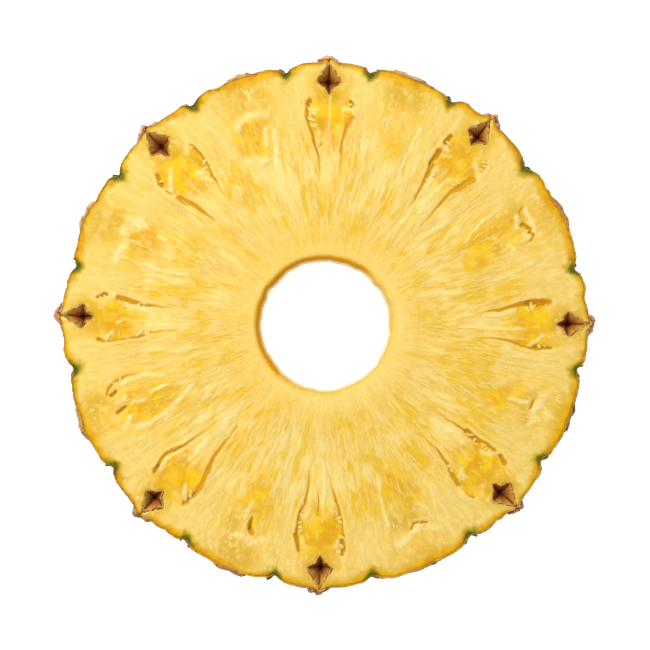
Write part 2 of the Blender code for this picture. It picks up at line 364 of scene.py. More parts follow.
        ("stain", 1.2, 0.7, (20.0, 7.0), (24.0, 6.4)),
        ("stain", 1.2, 0.8, (21.0, -6.2), (26.0, -6.0)),
    ),
    (
        ("shade", 1.8, 1.6, (6.2, 1.8), (7.4, -2.4)),
        ("gold", 3.0, 2.8, (12.0, 2.6), (17.0, 0.8)),
        ("cream", 0.8, 0.7, (3.2, 5.4), (4.4, 3.0), (4.2, 0.8), (3.2, -1.6), (2.8, -3.8)),
        ("pocket", 0.3, 0.2, (5.0, 4.2), (5.6, 2.0), (5.0, 0.4)),
        ("cream", 0.4, 0.3, (8.2, 5.2), (9.6, 4.2)),
        ("cream", 0.5, 0.3, (8.0, -4.2), (13.0, -3.6), (19.0, -2.0)),
        ("stain", 1.6, 0.9, (17.6, 8.4), (24.0, 6.0)),
        ("stain", 1.1, 0.9, (23.6, -3.0), (24.6, -4.2)),
    ),
    (
        ("gold", 3.4, 2.8, (4.0, 0.4), (9.0, 0.0), (14.0, -0.6)),
        ("pocket", 0.4, 0.6, (3.6, 5.3), (6.0, 5.9)),
        ("pocket", 0.75, 0.9, (11.6, 5.0), (15.0, 4.8)),
        ("slit", 0.4, 0.25, (7.8, 6.1), (11.0, 5.6), (17.0, 4.2), (23.0, 3.0)),
        ("slit", 0.25, 0.25, (3.6, -5.0), (5.6, -5.8)),
        ("slit", 0.6, 0.25, (8.2, -5.5), (11.0, -4.8), (15.0, -3.4), (22.0, -2.9)),
        ("cream", 0.6, 0.5, (8.0, 4.6), (9.6, 3.6)),
        ("cream", 0.3, 0.3, (12.0, 4.8), (13.6, 4.2)),
        ("cream", 0.6, 0.5, (8.4, -3.6), (10.0, -2.6)),
        ("cream", 0.8, 0.5, (14.6, 2.2), (18.0, 2.0), (23.0, 1.2)),
        ("stain", 1.1, 0.8, (18.0, 6.6), (23.0, 5.4)),
        ("stain", 1.5, 1.0, (17.6, -7.0), (22.0, -6.0)),
    ),
    (
        ("shade", 1.4, 1.2, (4.8, 1.4), (5.2, -4.2)),
        ("gold", 2.2, 2.0, (9.0, 0.4), (13.0, -2.2)),
        ("cream", 0.8, 0.6, (3.6, 1.8), (3.2, 0.2), (3.8, -1.6)),
        ("cream", 0.6, 0.5, (3.4, -2.8), (3.8, -5.0)),
        ("pocket", 0.3, 0.2, (4.6, 0.6), (4.8, -1.2)),
        ("cream", 0.5, 0.4, (6.4, -0.4), (10.0, -1.0)),
        ("stain", 2.0, 1.2, (19.5, 4.6), (27.0, 2.6)),
        ("stain", 1.0, 0.7, (20.0, -7.4), (24.0, -7.0)),
    ),
)
UNDERSIDE_SHIFT = 5

# For each kind of mark: how far it raises the face in mm, how crisp its edge is (0 is a soft bell),
# and the named tint that it adds.
KINDS = {
    "gold": (-0.04, 0.1, "gold"),
    "stain": (-0.03, 0.0, "stain"),
    # shade strokes paint the shade of small hollows in olive
    "shade": (-0.04, 0.0, "olive_and_shade"),
    "cream": (0.14, 0.4, "white"),
    "slit": (-0.18, 0.45, "deep"),
    "pocket": (-0.5, 0.85, "deep"),
}
# The stain, cream, gold, deep and olive tints carry painted shade and light as well as the flesh's own
# colours.
TINTS = ("gold", "stain", "olive_and_shade", "cream", "deep", "rim", "green", "pale", "white", "fibrous", "dull")


def raise_tint(tints, name, amount):
    """Brings a tint up to an amount wherever it is below it."""
    tints[name][...] = np.maximum(tints[name], amount)


def smooth_path(points, steps=7):
    """A curve through the points: between two of them, a cubic that leans on the two beyond."""
    points = np.array(points, float)
    padded = np.vstack([2 * points[0] - points[1], points, 2 * points[-1] - points[-2]])
    t = np.linspace(0.0, 1.0, steps, endpoint=False)[:, None]
    spans = []
    for k in range(len(points) - 1):
        p0, p1, p2, p3 = padded[k:k + 4]
        spans.append(0.5 * (2 * p1 + (p2 - p0) * t + (2 * p0 - 5 * p1 + 4 * p2 - p3) * t ** 2
                            + (3 * p1 - p0 - 3 * p2 + p3) * t ** 3))
    return np.vstack(spans + [points[-1:]])


def stroke_nearness(inward, aside, path, start_width, end_width):
    """How many half widths each place lies from a stroke, and how far along it, from 0 to 1."""
    nearest = np.full(inward.shape, 99.0)
    passed = np.zeros(inward.shape)
    share = np.linspace(0.0, 1.0, len(path))
    for k in range(len(path) - 1):
        run = path[k + 1] - path[k]
        t = ((inward - path[k, 0]) * run[0] + (aside - path[k, 1]) * run[1]) / (run @ run)
        t = np.clip(t, 0.0, 1.0)
        distance = np.hypot(inward - path[k, 0] - t * run[0], aside - path[k, 1] - t * run[1])
        along = share[k] + t * (share[k + 1] - share[k])
        distance = distance / (start_width + (end_width - start_width) * along)
        passed = np.where(distance < nearest, along, passed)
        nearest = np.minimum(nearest, distance)
    return nearest, passed


def look_of(number, top):
    """A fruitlet's look on one face. The underside shows the same looks, moved round."""
    return LOOKS[number if top else (number + UNDERSIDE_SHIFT) % FRUITLETS]


def paint_fruitlet(look, inward, aside, height, tints):
    """Adds a look's strokes to the height, in mm, and the tints of the places near one fruitlet.

    A mark's strength is soft * (1 - crisp) + hard * crisp, of its distance in half widths with its
    edge made uneven. A slit fades over its second half, and pale marks break up into puffs.
    """
    swell = mottle(inward, aside, 1.1, 71)
    puffs = swell + 0.7 * mottle(inward, aside, 0.55, 72)
    for kind, start_width, end_width, *points in look:
        rise, crisp, tint = KINDS[kind]
        near, passed = stroke_nearness(inward, aside, smooth_path(points), start_width, end_width)
        ragged_edge = {"cream": 0.55 * puffs, "slit": 0.3 * swell}.get(kind, 0.5 * swell)
        near = near * (1.0 + ragged_edge)
        soft = bell(near, 1.0)
        hard = 1.0 - ease(1.0 - 0.5 * crisp, 1.55 - 0.5 * crisp, near)
        amount = soft * (1 - crisp) + hard * crisp
        fade = 1.0
        if kind == "slit":
            fade = (1.0 - 0.45 * ease(0.5, 1.0, passed)) * min(1.0, start_width + 0.55)
            amount = amount * fade
        elif kind == "cream":
            amount = np.clip(amount * (0.75 + 0.5 * puffs), 0.0, 1.0)
        elif kind in ("shade", "gold"):
            amount = np.clip(1.3 * bell(near, 1.25), 0.0, 1.0) * (0.85 + 0.4 * swell)
        height += rise * amount
        # painted shade: a slit's or pocket's amber reaches over its shaded walls
        if tint == "deep":
            amount = np.maximum(amount, 0.7 * bell(near, 1.4) * fade)
        raise_tint(tints, tint, amount)


def limits_of_pulp(look):
    """How far the pulp under an eye reaches to either side: the slits and pockets that hem it in."""
    marks = [point for kind, _, _, *points in look if kind in ("slit", "pocket") for point in points]
    left = sorted(mark for mark in marks if mark[1] > 1.0)
    right = sorted(mark for mark in marks if mark[1] < -1.0)
    return np.array(left).T, np.array(right).T


def fill_pulp(look, inward, aside, height, tints):
    """Sinks and gilds the pulp between the slits under an eye, with a pale wedge at its foot."""
    left, right = limits_of_pulp(look)
    room = np.minimum(np.interp(inward, left[0], left[1]) - aside,
                      aside - np.interp(inward, right[0], right[1]))
    within = ease(-0.2, 0.35, room) * ease(0.4, 6.5, inward + 0.5 * mottle(inward, aside, 0.9, 79))
    uneven = mottle(aside * 1.6, inward * 0.5, 1.3, 73)
    golden = within * (1.0 - ease(10.5, 18.0, inward + 3.0 * uneven + 0.4 * np.abs(aside)))
    threads = drift(aside / 0.55, inward / 3.4, 76) + 0.7 * drift(aside / 0.28, inward / 2.2, 77)
    wedge = within * ease(10.5, 14.5, inward + 2.0 * uneven) * (1.0 - ease(20.0, 27.0, inward))
    folds = mottle(aside + 0.4 * inward, inward * 0.6, 1.9, 78)
    height -= 0.2 * golden - 0.06 * golden * folds
    height += 0.10 * bell(room + 0.55, 0.45) * ease(3.0, 5.0, inward) * (1 - ease(12, 20, inward))
    veins = drift(aside * (1.0 + inward / 24.0) / 0.8, inward / 3.6, 80)
    raise_tint(tints, "gold", golden * (1.0 - 0.35 * ease(0.2, 0.9, veins)))
    raise_tint(tints, "cream", 0.45 * golden * ease(0.35, 0.9, veins))
    raise_tint(tints, "cream", 0.75 * wedge * ease(-0.5, 0.9, threads + 0.7))
    raise_tint(tints, "fibrous", wedge)


# ------------------------------------------------------------------------------------- the flesh

# The angle below is the way, in degrees, that the side of the hole's wall that faces the lamp lies:
# the hole's tints paint light on that side and shade on the other. The underside is sunk a little
# further than the upper face, so that its ridges don't stand out of the slice. Lengths without MM,
# here and in the steps of a face, are in millimetres.
LAMP_WALL_ANGLE = -45.0
CORE_EDGE = 23.0 * MM
PULP_REACH = 45.0 * MM
FACE_START = HOLE_RADIUS + 1.75 * MM
FANS_START = 29.0 * MM
FRUITLETS_START = 39.0 * MM
FACE_EDGE = 59.0 * MM
CORE_ROWS, FAN_ROWS, FRUITLET_ROWS = 13, 12, 46
FACE_SETTLE = 0.05 * MM
UNDERSIDE_SETTLE = 0.22 * MM
EDGE_BEVEL = 0.6 * MM
FIBRE_BEND = 0.62
BODY_FIBRE_BEND = 0.42
LOOK_HALF_ANGLE = 19.0
LOOK_INNER_RADIUS = 22.0
GREEN_HALF_ANGLE = 11.0
HIGHEST_RIDGE = 0.2


def fibre_angles(columns):
    """Where each fibre leaves the core, and where it has got to at PULP_REACH, in degrees.

    At PULP_REACH the fibres' columns are even. Those beside a fruitlet bend away from it, by
    bend * gap * sin(2 pi s) / (2 pi), where s is the share of the gap between two fruitlets.
    """
    reached = np.arange(columns) * 360.0 / columns
    index, across = place_on_rind(reached, np.ones(columns))
    share = across / 2
    bend = np.where(index % 2 == 0, FIBRE_BEND, BODY_FIBRE_BEND)
    left = reached - bend * 360.0 / FRUITLETS * np.sin(2 * math.pi * share) / (2 * math.pi)
    return left, reached


def face_rows():
    """Radii of the rows across a face, closest together where the pulp and the eyes are."""
    core = np.linspace(FACE_START, FANS_START, CORE_ROWS, endpoint=False)
    fans = np.linspace(FANS_START, FRUITLETS_START, FAN_ROWS, endpoint=False)
    fruitlets = np.linspace(FRUITLETS_START, FACE_EDGE, FRUITLET_ROWS)
    return np.concatenate([core, fans, fruitlets])


def nearby_mean(values, rows, columns):
    """The mean of a face's values over so many rows and columns to either side."""
    total = np.zeros(values.shape)
    for step in range(-columns, columns + 1):
        total += np.roll(values, step, axis=1)
    padded = np.pad(total, ((rows, rows), (0, 0)), mode="edge")
    stacked = sum(padded[step:step + len(values)] for step in range(2 * rows + 1))
    return stacked / ((2 * rows + 1) * (2 * columns + 1))


def places_on_face(radius, angle, fibre, top):
    """What the steps of face_relief need to know of each place on a face, with lengths in mm.

    r, x and y place it on the slice; inward and aside place it by the nearest fruitlet's eye;
    around is how far it lies from that eye, and opened is true where the face cuts the eye open.
    turns is its fibre's share of a turn, plus one so that it stays above 0, led astray by mottle.
    """
    seed = 0 if top else 40
    r = radius / MM
    x = r * np.cos(np.radians(angle))
    y = r * np.sin(np.radians(angle))
    index, across = place_on_rind(angle, np.full(angle.shape, 1.0 if top else 0.0))
    off = np.radians((angle - FRUITLET_ANGLES[index] + 180.0) % 360.0 - 180.0)
    inward = EYE_RADIUS / MM - r * np.cos(off)
    aside = r * np.sin(off)
    astray = 1.3 * mottle(x, y, 7.0, seed + 8) + 0.5 * mottle(x, y, 2.6, seed + 9)
    return SimpleNamespace(
        seed=seed, r=r, x=x, y=y, angle=angle, across=across, inward=inward, aside=aside,
        opened=(index % 2 == 0) == top, around=np.hypot(inward * 0.8, aside * 0.9),
        cloud=mottle(x, y, 3.2, seed + 60),
        turns=(fibre + np.degrees(astray / r) * ease(20.0, 28.0, r)) / 360.0 + 1.0)


def paint_fruitlets(at, top, height, tints):
    """Adds every fruitlet's look, with its places led astray by a third of a millimetre."""
    wobble = 0.35 * mottle(at.x, at.y, 1.6, at.seed + 1)
    wobble_too = 0.35 * mottle(at.x, at.y, 1.6, at.seed + 5)
    for i in range(FRUITLETS):
        near = (at.angle - FRUITLET_ANGLES[i] + 180.0) % 360.0 - 180.0
        here = (np.abs(near) < LOOK_HALF_ANGLE) & (at.r > LOOK_INNER_RADIUS)
        off = np.radians(near[here])
        inward = EYE_RADIUS / MM - at.r[here] * np.cos(off) + wobble[here]
        aside = at.r[here] * np.sin(off) + wobble_too[here]
        part = {name: tints[name][here] for name in TINTS}
        raised = height[here]
        look = look_of(i, top)
        if (i % 2 == 0) == top:
            fill_pulp(look, inward, aside, raised, part)
        paint_fruitlet(look, inward, aside, raised, part)
        height[here] = raised
        for name in TINTS:
            tints[name][here] = part[name]


def tint_round_eyes(at, tints):
    """The translucent flesh round an eye and under a whole rind, and the pale flesh beside it."""
    raise_tint(tints, "olive_and_shade", at.opened * 0.7 * bell(at.around - 2.4, 1.3 + 0.5 * at.cloud))
    raise_tint(tints, "olive_and_shade", ~at.opened * (0.6 + 0.4 * at.cloud)
               * bell(at.inward + 2.0, 3.0) * bell(at.aside, 6.5))
    beside = np.where(at.opened, ease(4.2, 6.0, np.abs(at.aside) + 0.5 * at.cloud),
                      ease(4.5, 8.0, np.abs(at.aside) + at.cloud))
    tints["pale"] = beside * ease(43.5, 49.5, at.r) * (0.9 + 0.25 * at.cloud)


def lay_fibres(at, pulp, height, tints):
    """The fans of fibres between the fruitlets: four widths of drift, long along the fibres.

    Where the widths add up one way the flesh is stained golden, and the other way it is cream.
    """
    turns, r, seed = at.turns, at.r, at.seed
    fibres = ease(18.5, 27.0, r) * (1.0 - 0.75 * ease(41.0, 52.0, r))
    length = r + 1.6 * drift(turns * 30, r / 5, seed + 7, 30)
    broad = drift(turns * 62, length / 6.0, seed + 11, 62)
    plain = drift(turns * 130, length / 4.5, seed + 12, 130)
    slim = drift(turns * 260, length / 3.2, seed + 13, 260)
    fine = drift(turns * 520, length / 2.2, seed + 14, 520)
    height += fibres * (0.07 * broad + 0.07 * plain + 0.06 * slim + 0.03 * fine) * (1.0 - 0.4 * pulp)
    streaks = ease(0.12, 0.55, 0.62 * broad + 0.45 * plain + 0.22 * slim)
    fleck = ease(0.5, 0.85, drift(turns * 100, r / 2.4, seed + 18, 100) + 0.35 * slim)
    golden = np.maximum(streaks, fleck * (1.0 - ease(30.0, 40.0, r)))
    raise_tint(tints, "stain", ease(15.5, 18.5, r) * (1 - ease(41, 50, r)) * golden)
    light = -0.55 * broad + 0.5 * plain - 0.4 * slim + 0.35 * fine
    raise_tint(tints, "cream", fibres * ease(0.15, 0.55, light) * (1 - pulp))
    grains = ease(0.25, 0.8, 0.7 * fine + 0.6 * drift(turns * 330, length / 1.7, seed + 19, 330))
    raise_tint(tints, "cream", grains * 0.5 * (1 - pulp))
    height += 0.035 * grains
    rings = drift(at.around / 0.5, np.arctan2(at.aside, -at.inward) * 2.2, seed + 66)
    swept = ease(0.25, 0.8, rings) * ease(2.8, 4.0, at.around) * (1 - ease(7.0, 10.0, at.around))
    raise_tint(tints, "cream", 0.45 * at.opened * swept * (1 - pulp))
    tints["fibrous"] = np.clip(np.maximum(tints["fibrous"], fibres) + 0.1, 0.0, 1.0)


def tint_towards_rind(at, inside, height, tints):
    """The golden rim, of uneven width, and the green that creeps in from the grooves.

    inside is how many mm a place lies within the flesh's outer edge.
    """
    uneven = drift(at.turns * 60, at.r * 0, at.seed + 30, 60) + 0.6 * mottle(
        at.x, at.y, 1.3, at.seed + 31)
    rim_width = 1.7 + 1.0 * uneven + 0.4 * np.abs(at.across) * at.opened + 0.5 * ~at.opened
    tints["rim"] = 1.0 - ease(0.0, 1.3, inside / np.maximum(rim_width, 0.6))
    half_gap = np.radians(GREEN_HALF_ANGLE) * at.r
    notch = np.hypot(inside * 1.25, 0.75 * (1.0 - np.abs(at.across)) * half_gap)
    notch = notch * (1.0 + 0.5 * mottle(at.x, at.y, 1.0, at.seed + 34))
    tints["green"] = 1.0 - np.clip((notch - 0.3) / 3.0, 0.0, 1.0)
    lime = ease(0.0, 0.7, drift(at.turns * 24, at.r * 0, at.seed + 35, 24)) * bell(inside - 1.4, 1.1)
    hidden = ~at.opened * bell(at.across, 0.6) * bell(inside - 2.0, 1.6) * (0.75 + 0.5 * at.cloud)
    raise_tint(tints, "green", 0.22 * np.maximum(lime, hidden))
    height += 0.05 * tints["rim"] * mottle(at.x, at.y, 0.9, at.seed + 32) - 0.1 * tints["green"]


def paint_relief_shading(height, pulp, tints):
    """Paints shade on what lies lower than the places round it, as golden stain, and paints highlight on
    what stands higher, as cream.
    """
    around_it = nearby_mean(height, 2, 3)
    valley_shade = np.clip((around_it - height) / 0.07, 0.0, 1.0)
    crest_highlight = np.clip((height - around_it) / 0.06, 0.0, 1.0) * ease(-0.1, 0.0, height)
    raise_tint(tints, "stain", 0.8 * valley_shade)
    raise_tint(tints, "cream", 0.8 * crest_highlight * (1.0 - 0.5 * pulp))
    # painted shade: amber where the face lies deep
    raise_tint(tints, "deep", ease(0.36, 0.56, -nearby_mean(height, 1, 1)))


def face_relief(radius, angle, fibre, edge, top):
    """Height in mm above the cut plane, and the tints, of places on one face of the slice."""
    at = places_on_face(radius, angle, fibre, top)
    height = np.zeros(radius.shape)
    tints = {name: np.zeros(radius.shape) for name in TINTS}
    paint_fruitlets(at, top, height, tints)
    tint_round_eyes(at, tints)
    pulp = np.clip(tints["gold"] * 1.3, 0.0, 1.0)
    lay_fibres(at, pulp, height, tints)

    # pulp is lumpy, and everything is a little uneven
    lumps = mottle(at.x, at.y, 1.5, at.seed + 20)
    height += 0.05 * pulp * lumps + 0.04 * mottle(at.x, at.y, 5.0, at.seed + 24)
    raise_tint(tints, "cream", 0.3 * pulp * ease(0.45, 0.8, lumps))
    tint_towards_rind(at, (edge - radius) / MM, height, tints)

    # a crease runs from each open eye to the rind, and its pit goes down to the well
    middle = 0.25 * drift(at.r, at.r * 0, at.seed + 33)
    crease = at.opened * bell(at.aside - middle, 0.28) * ease(-3.4, -4.2, at.inward)
    raise_tint(tints, "deep", crease)
    height -= 0.7 * crease
    height = np.where(height > 0.0, HIGHEST_RIDGE * np.tanh(height / HIGHEST_RIDGE), height)
    paint_relief_shading(height, pulp, tints)
    star = np.hypot(at.inward, at.aside) < eye_outline(np.arctan2(at.aside, -at.inward)) - 0.06
    height = np.where(star & at.opened, -EYE_WELL / MM, height)
    return height, tints


def grid_faces(rows, columns, flipped):
    """Corner numbers of the quads of a grid that closes on itself both ways."""
    row, column = np.meshgrid(np.arange(rows), np.arange(columns), indexing="ij")
    below = (row + 1) % rows
    beside = (column + 1) % columns
    quads = np.stack([row * columns + column, row * columns + beside,
                      below * columns + beside, below * columns + column], axis=-1).reshape(-1, 4)
    return quads[:, ::-1] if flipped else quads


def capped_faces(rows, columns, flipped):
    """Corner numbers of a grid that closes round its columns and has a pole beyond each end row.

    The poles are the two vertices after the grid's own: the first row's, then the last row's.
    """
    row, column = np.meshgrid(np.arange(rows - 1), np.arange(columns), indexing="ij")
    beside = (column + 1) % columns
    quads = np.stack([row * columns + column, row * columns + beside,
                      (row + 1) * columns + beside, (row + 1) * columns + column], axis=-1)
    quads = quads.reshape(-1, 4)
    first = np.arange(columns)
    after = (first + 1) % columns
    start = rows * columns
    last = (rows - 1) * columns
    caps = np.concatenate([
        np.stack([np.full(columns, start), after, first], axis=-1),
        np.stack([np.full(columns, start + 1), last + first, last + after], axis=-1),
    ])
    return (quads[:, ::-1], caps[:, ::-1]) if flipped else (quads, caps)


def mesh_object(name, points, quads, triangles=None):
    """A smooth mesh from (n, 3) points, its quads and, where it has any, its triangles."""
    triangles = np.zeros((0, 3), np.int64) if triangles is None else triangles
    mesh = bpy.data.meshes.new(name)
    mesh.vertices.add(len(points))
    mesh.vertices.foreach_set("co", points.astype(np.float32).ravel())
    corners = np.concatenate([quads.ravel(), triangles.ravel()])
    sizes = np.concatenate([np.full(len(quads), 4), np.full(len(triangles), 3)])
    mesh.loops.add(len(corners))
    mesh.loops.foreach_set("vertex_index", corners.astype(np.int32))
    mesh.polygons.add(len(sizes))
    starts = np.concatenate([[0], np.cumsum(sizes)[:-1]])
    mesh.polygons.foreach_set("loop_start", starts.astype(np.int32))
    mesh.update(calc_edges=True)
    mesh.validate()
    mesh.shade_smooth()
    made = bpy.data.objects.new(name, mesh)
    bpy.context.scene.collection.objects.link(made)
    return made


def give_number(obj, name, values):
    """Stores one number per vertex, for the material to read by that name."""
    layer = obj.data.attributes.new(name, "FLOAT", "POINT")
    layer.data.foreach_set("value", values.astype(np.float32).ravel())


def give_vector(obj, name, values):
    """Stores one vector per vertex, for the material to read by that name."""
    layer = obj.data.attributes.new(name, "FLOAT_VECTOR", "POINT")
    layer.data.foreach_set("vector", values.astype(np.float32).ravel())


def flow_vector(fibre, radius):
    """Seamless coordinates that follow the fibres: round the slice at 40 mm, and along it."""
    turn = np.radians(fibre)
    return np.stack([40 * MM * np.cos(turn), 40 * MM * np.sin(turn), radius], axis=-1)


def on_circles(radius, angle, height):
    """Points in space from a radius, an angle in degrees and a height."""
    turn = np.radians(angle)
    return np.stack([radius * np.cos(turn), radius * np.sin(turn), height], axis=-1)


def hole_rows(left):
    """Radius and height of the hole's rows: up its wall, then over its rounded edge.

    The rounding is the first 75 degrees of a quarter circle: across 1 - cos(bend), up sin(bend).
    The last value is cos(bend) for each row: 1 on the wall, and less the further it is rounded.
    """
    hole = hole_radius(left) - HOLE_BULGE
    bend = np.radians(np.linspace(0.0, 75.0, 6))[:, None]
    notched = 0.24 * MM * drift(left / 360 * 46, left * 0, 63, 46) * np.cos(bend)
    rounded = hole + (HOLE_ROUNDING + HOLE_BULGE * 0.6) * (1 - np.cos(bend)) + notched
    rounded_height = THICKNESS / 2 - HOLE_ROUNDING + HOLE_ROUNDING * np.sin(bend) + 0 * rounded
    wall_height = np.linspace(0.0, THICKNESS / 2 - HOLE_ROUNDING, 6)[:-1, None]
    wall_height = np.insert(wall_height, 1, 0.04 * MM, axis=0)
    wall = hole + 0.12 * MM * drift(left / 360 * 160, wall_height / MM * 0.15, 61, 160)
    wall = wall + 0.08 * MM * drift(left / 360 * 60, wall_height / MM * 0.8, 62, 60)
    wall = wall + notched[0]
    depth = np.vstack([np.ones(wall.shape), np.cos(bend) + 0 * rounded])
    return np.vstack([wall, rounded]), np.vstack([wall_height + 0 * wall, rounded_height]), depth


def hole_tints(lamp_facing, depth):
    """Tints of the hole, from how squarely each place faces the lamp and from hole_rows' depth.

    They are painted light and shade. The wall is painted amber, gold and olive shade on the side
    turned from the lamp, and cream light on the side that faces it, where olive and a dull grey also
    paint it duller, so as not to glare.
    """
    low = ease(0.1, 0.7, depth)
    # painted shade on the side turned from the lamp; painted light, then painted dulling, on the side
    # facing it
    return {
        "cream": np.maximum(0.25 * ease(0.1, 0.8, lamp_facing) * depth, 0.45 * (1.0 - low)),
        "olive_and_shade": 0.8 * ease(0.5, -0.5, lamp_facing) * low + 0.8 * ease(0.0, 0.7, lamp_facing) * depth,
        "deep": 0.7 * ease(0.35, -0.35, lamp_facing) * low,
        "dull": 0.85 * ease(-0.2, 0.5, lamp_facing) * ease(0.5, 1.0, depth),
        "gold": ease(0.5, -0.2, lamp_facing) * low,
    }


def half_of_flesh(name, top):
    """One half of the flesh, a ring closed both ways round.

    Its section runs up the wall of the hole, over the rounding of hole_rows, out across the face in
    the rows of face_rows, over the edge, down behind the rind and back through MIDDLE. Also gives
    the face's own rows of heights, for what lies on them.
    """
    left, reached = fibre_angles(FACE_COLUMNS)
    radii = face_rows()[:, None]
    angle = left + (reached - left) * ease(CORE_EDGE, PULP_REACH, radii)
    edge = rind_radius(reached, np.full(FACE_COLUMNS, 1.0 if top else 0.0)) - RIND_THICKNESS
    radius = radii + (edge - FACE_EDGE) * ease(52.0 * MM, FACE_EDGE, radii)
    fibre = np.broadcast_to(left, radius.shape)
    height, tints = face_relief(radius, angle, fibre, edge, top)
    settle = ease(HOLE_RADIUS + 1.8 * MM, HOLE_RADIUS + 3.2 * MM, radius)
    sunk = FACE_SETTLE if top else UNDERSIDE_SETTLE
    face_height = THICKNESS / 2 - sunk + height * settle * MM

    hole, hole_height, depth = hole_rows(left)
    side_height = np.linspace(THICKNESS / 2 - EDGE_BEVEL, 0.0, 5)[:, None] + 0 * edge
    side_level = 0.5 + (side_height if top else -side_height) / THICKNESS
    side = rind_radius(np.broadcast_to(reached, side_level.shape), side_level) - RIND_THICKNESS

    all_radius = np.vstack([hole, radius, side])
    all_angle = np.vstack([np.broadcast_to(left, hole.shape), angle,
                           np.broadcast_to(reached, side.shape)])
    all_height = np.vstack([hole_height, face_height, side_height])
    points = on_circles(all_radius, all_angle, MIDDLE + (all_height if top else -all_height))
    made = mesh_object(name, points.reshape(-1, 3), grid_faces(*all_radius.shape, not top))

    # how squarely each place faces the lamp, for the hole's painted light and shade
    lamp_facing = np.cos(np.radians(left - LAMP_WALL_ANGLE)) + 0.25 * drift(left / 360 * 26, left * 0, 64, 26)
    near_hole = 1.0 - ease(16.8, 24.0, radius / MM)
    # the core's own cream round the hole, with more on the side facing the lamp as painted light
    raise_tint(tints, "cream", near_hole * (0.4 + 0.3 * ease(-0.5, 0.6, lamp_facing)))
    inner = hole_tints(lamp_facing, depth)
    for tint in TINTS:
        rows = [inner.get(tint, 0 * depth), tints[tint], 0 * side]
        give_number(made, tint, np.clip(np.vstack(rows), 0.0, 1.0))
    along = np.vstack([hole_height, radius, side])
    give_vector(made, "flow", flow_vector(np.broadcast_to(left, along.shape), along))
    return made, face_height


# ------------------------------------------------------------------------------------- the rind

RIND_COLUMNS = 1440
RIND_ROWS = 30
RIND_OVERLAP = 0.1 * MM
RIND_INSET = 0.05 * MM


def rind_ring():
    """The skin: rind_radius over its whole height with small bumps on it, and a plain inner side."""
    angle = np.arange(RIND_COLUMNS) * 360.0 / RIND_COLUMNS
    level = np.linspace(1.0, 0.0, RIND_ROWS)[:, None]
    grid_angle = np.broadcast_to(angle, (RIND_ROWS, RIND_COLUMNS))
    grid_level = np.broadcast_to(level, grid_angle.shape)
    index, across = place_on_rind(grid_angle, grid_level)
    base = rind_radius(grid_angle, grid_level)
    arc = grid_angle / 360.0
    high = grid_level * THICKNESS / MM
    bumps = 0.6 * drift(arc * 330, high / 1.1, 81, 330) + 0.5 * drift(arc * 760, high / 0.5, 82, 760)
    inner = base[[-1, RIND_ROWS // 2, 0]] - RIND_THICKNESS - RIND_OVERLAP
    inner[[0, 2]] += 0.12 * MM * drift(arc[0] * 210, arc[0] * 0, 83, 210)
    outer = base + 0.09 * MM * bumps
    outer[[0, -1]] -= 0.1 * MM
    radius = np.vstack([outer, inner])
    inner_height = np.array([RIND_INSET, THICKNESS / 2, THICKNESS - RIND_INSET])[:, None]
    height = np.vstack([grid_level * THICKNESS, inner_height + 0 * inner])
    points = on_circles(radius, np.broadcast_to(angle, radius.shape), lowest.z + height)
    made = mesh_object("rind", points.reshape(-1, 3), grid_faces(*radius.shape, True))
    groove = np.zeros(radius.shape)
    groove[:RIND_ROWS] = bell(1.0 - np.abs(across), 0.15)
    groove[-1] = groove[0]
    groove[RIND_ROWS] = groove[RIND_ROWS - 1]
    tip = np.zeros(radius.shape)
    eye = index % 2 == 0
    tip_level = np.where(eye, EYE_TIP_LEVEL, BODY_TIP_LEVEL)
    tip[:RIND_ROWS] = bell(across, 0.34) * bell(grid_level - tip_level, 0.42)
    tip[-1] = tip[0]
    give_number(made, "groove", groove)
    give_number(made, "tip", tip)
    return made


# ------------------------------------------------------------------------------------- the eyes

# How far an eye's columns are crowded towards its points, in radians.
CROWDING = 0.198


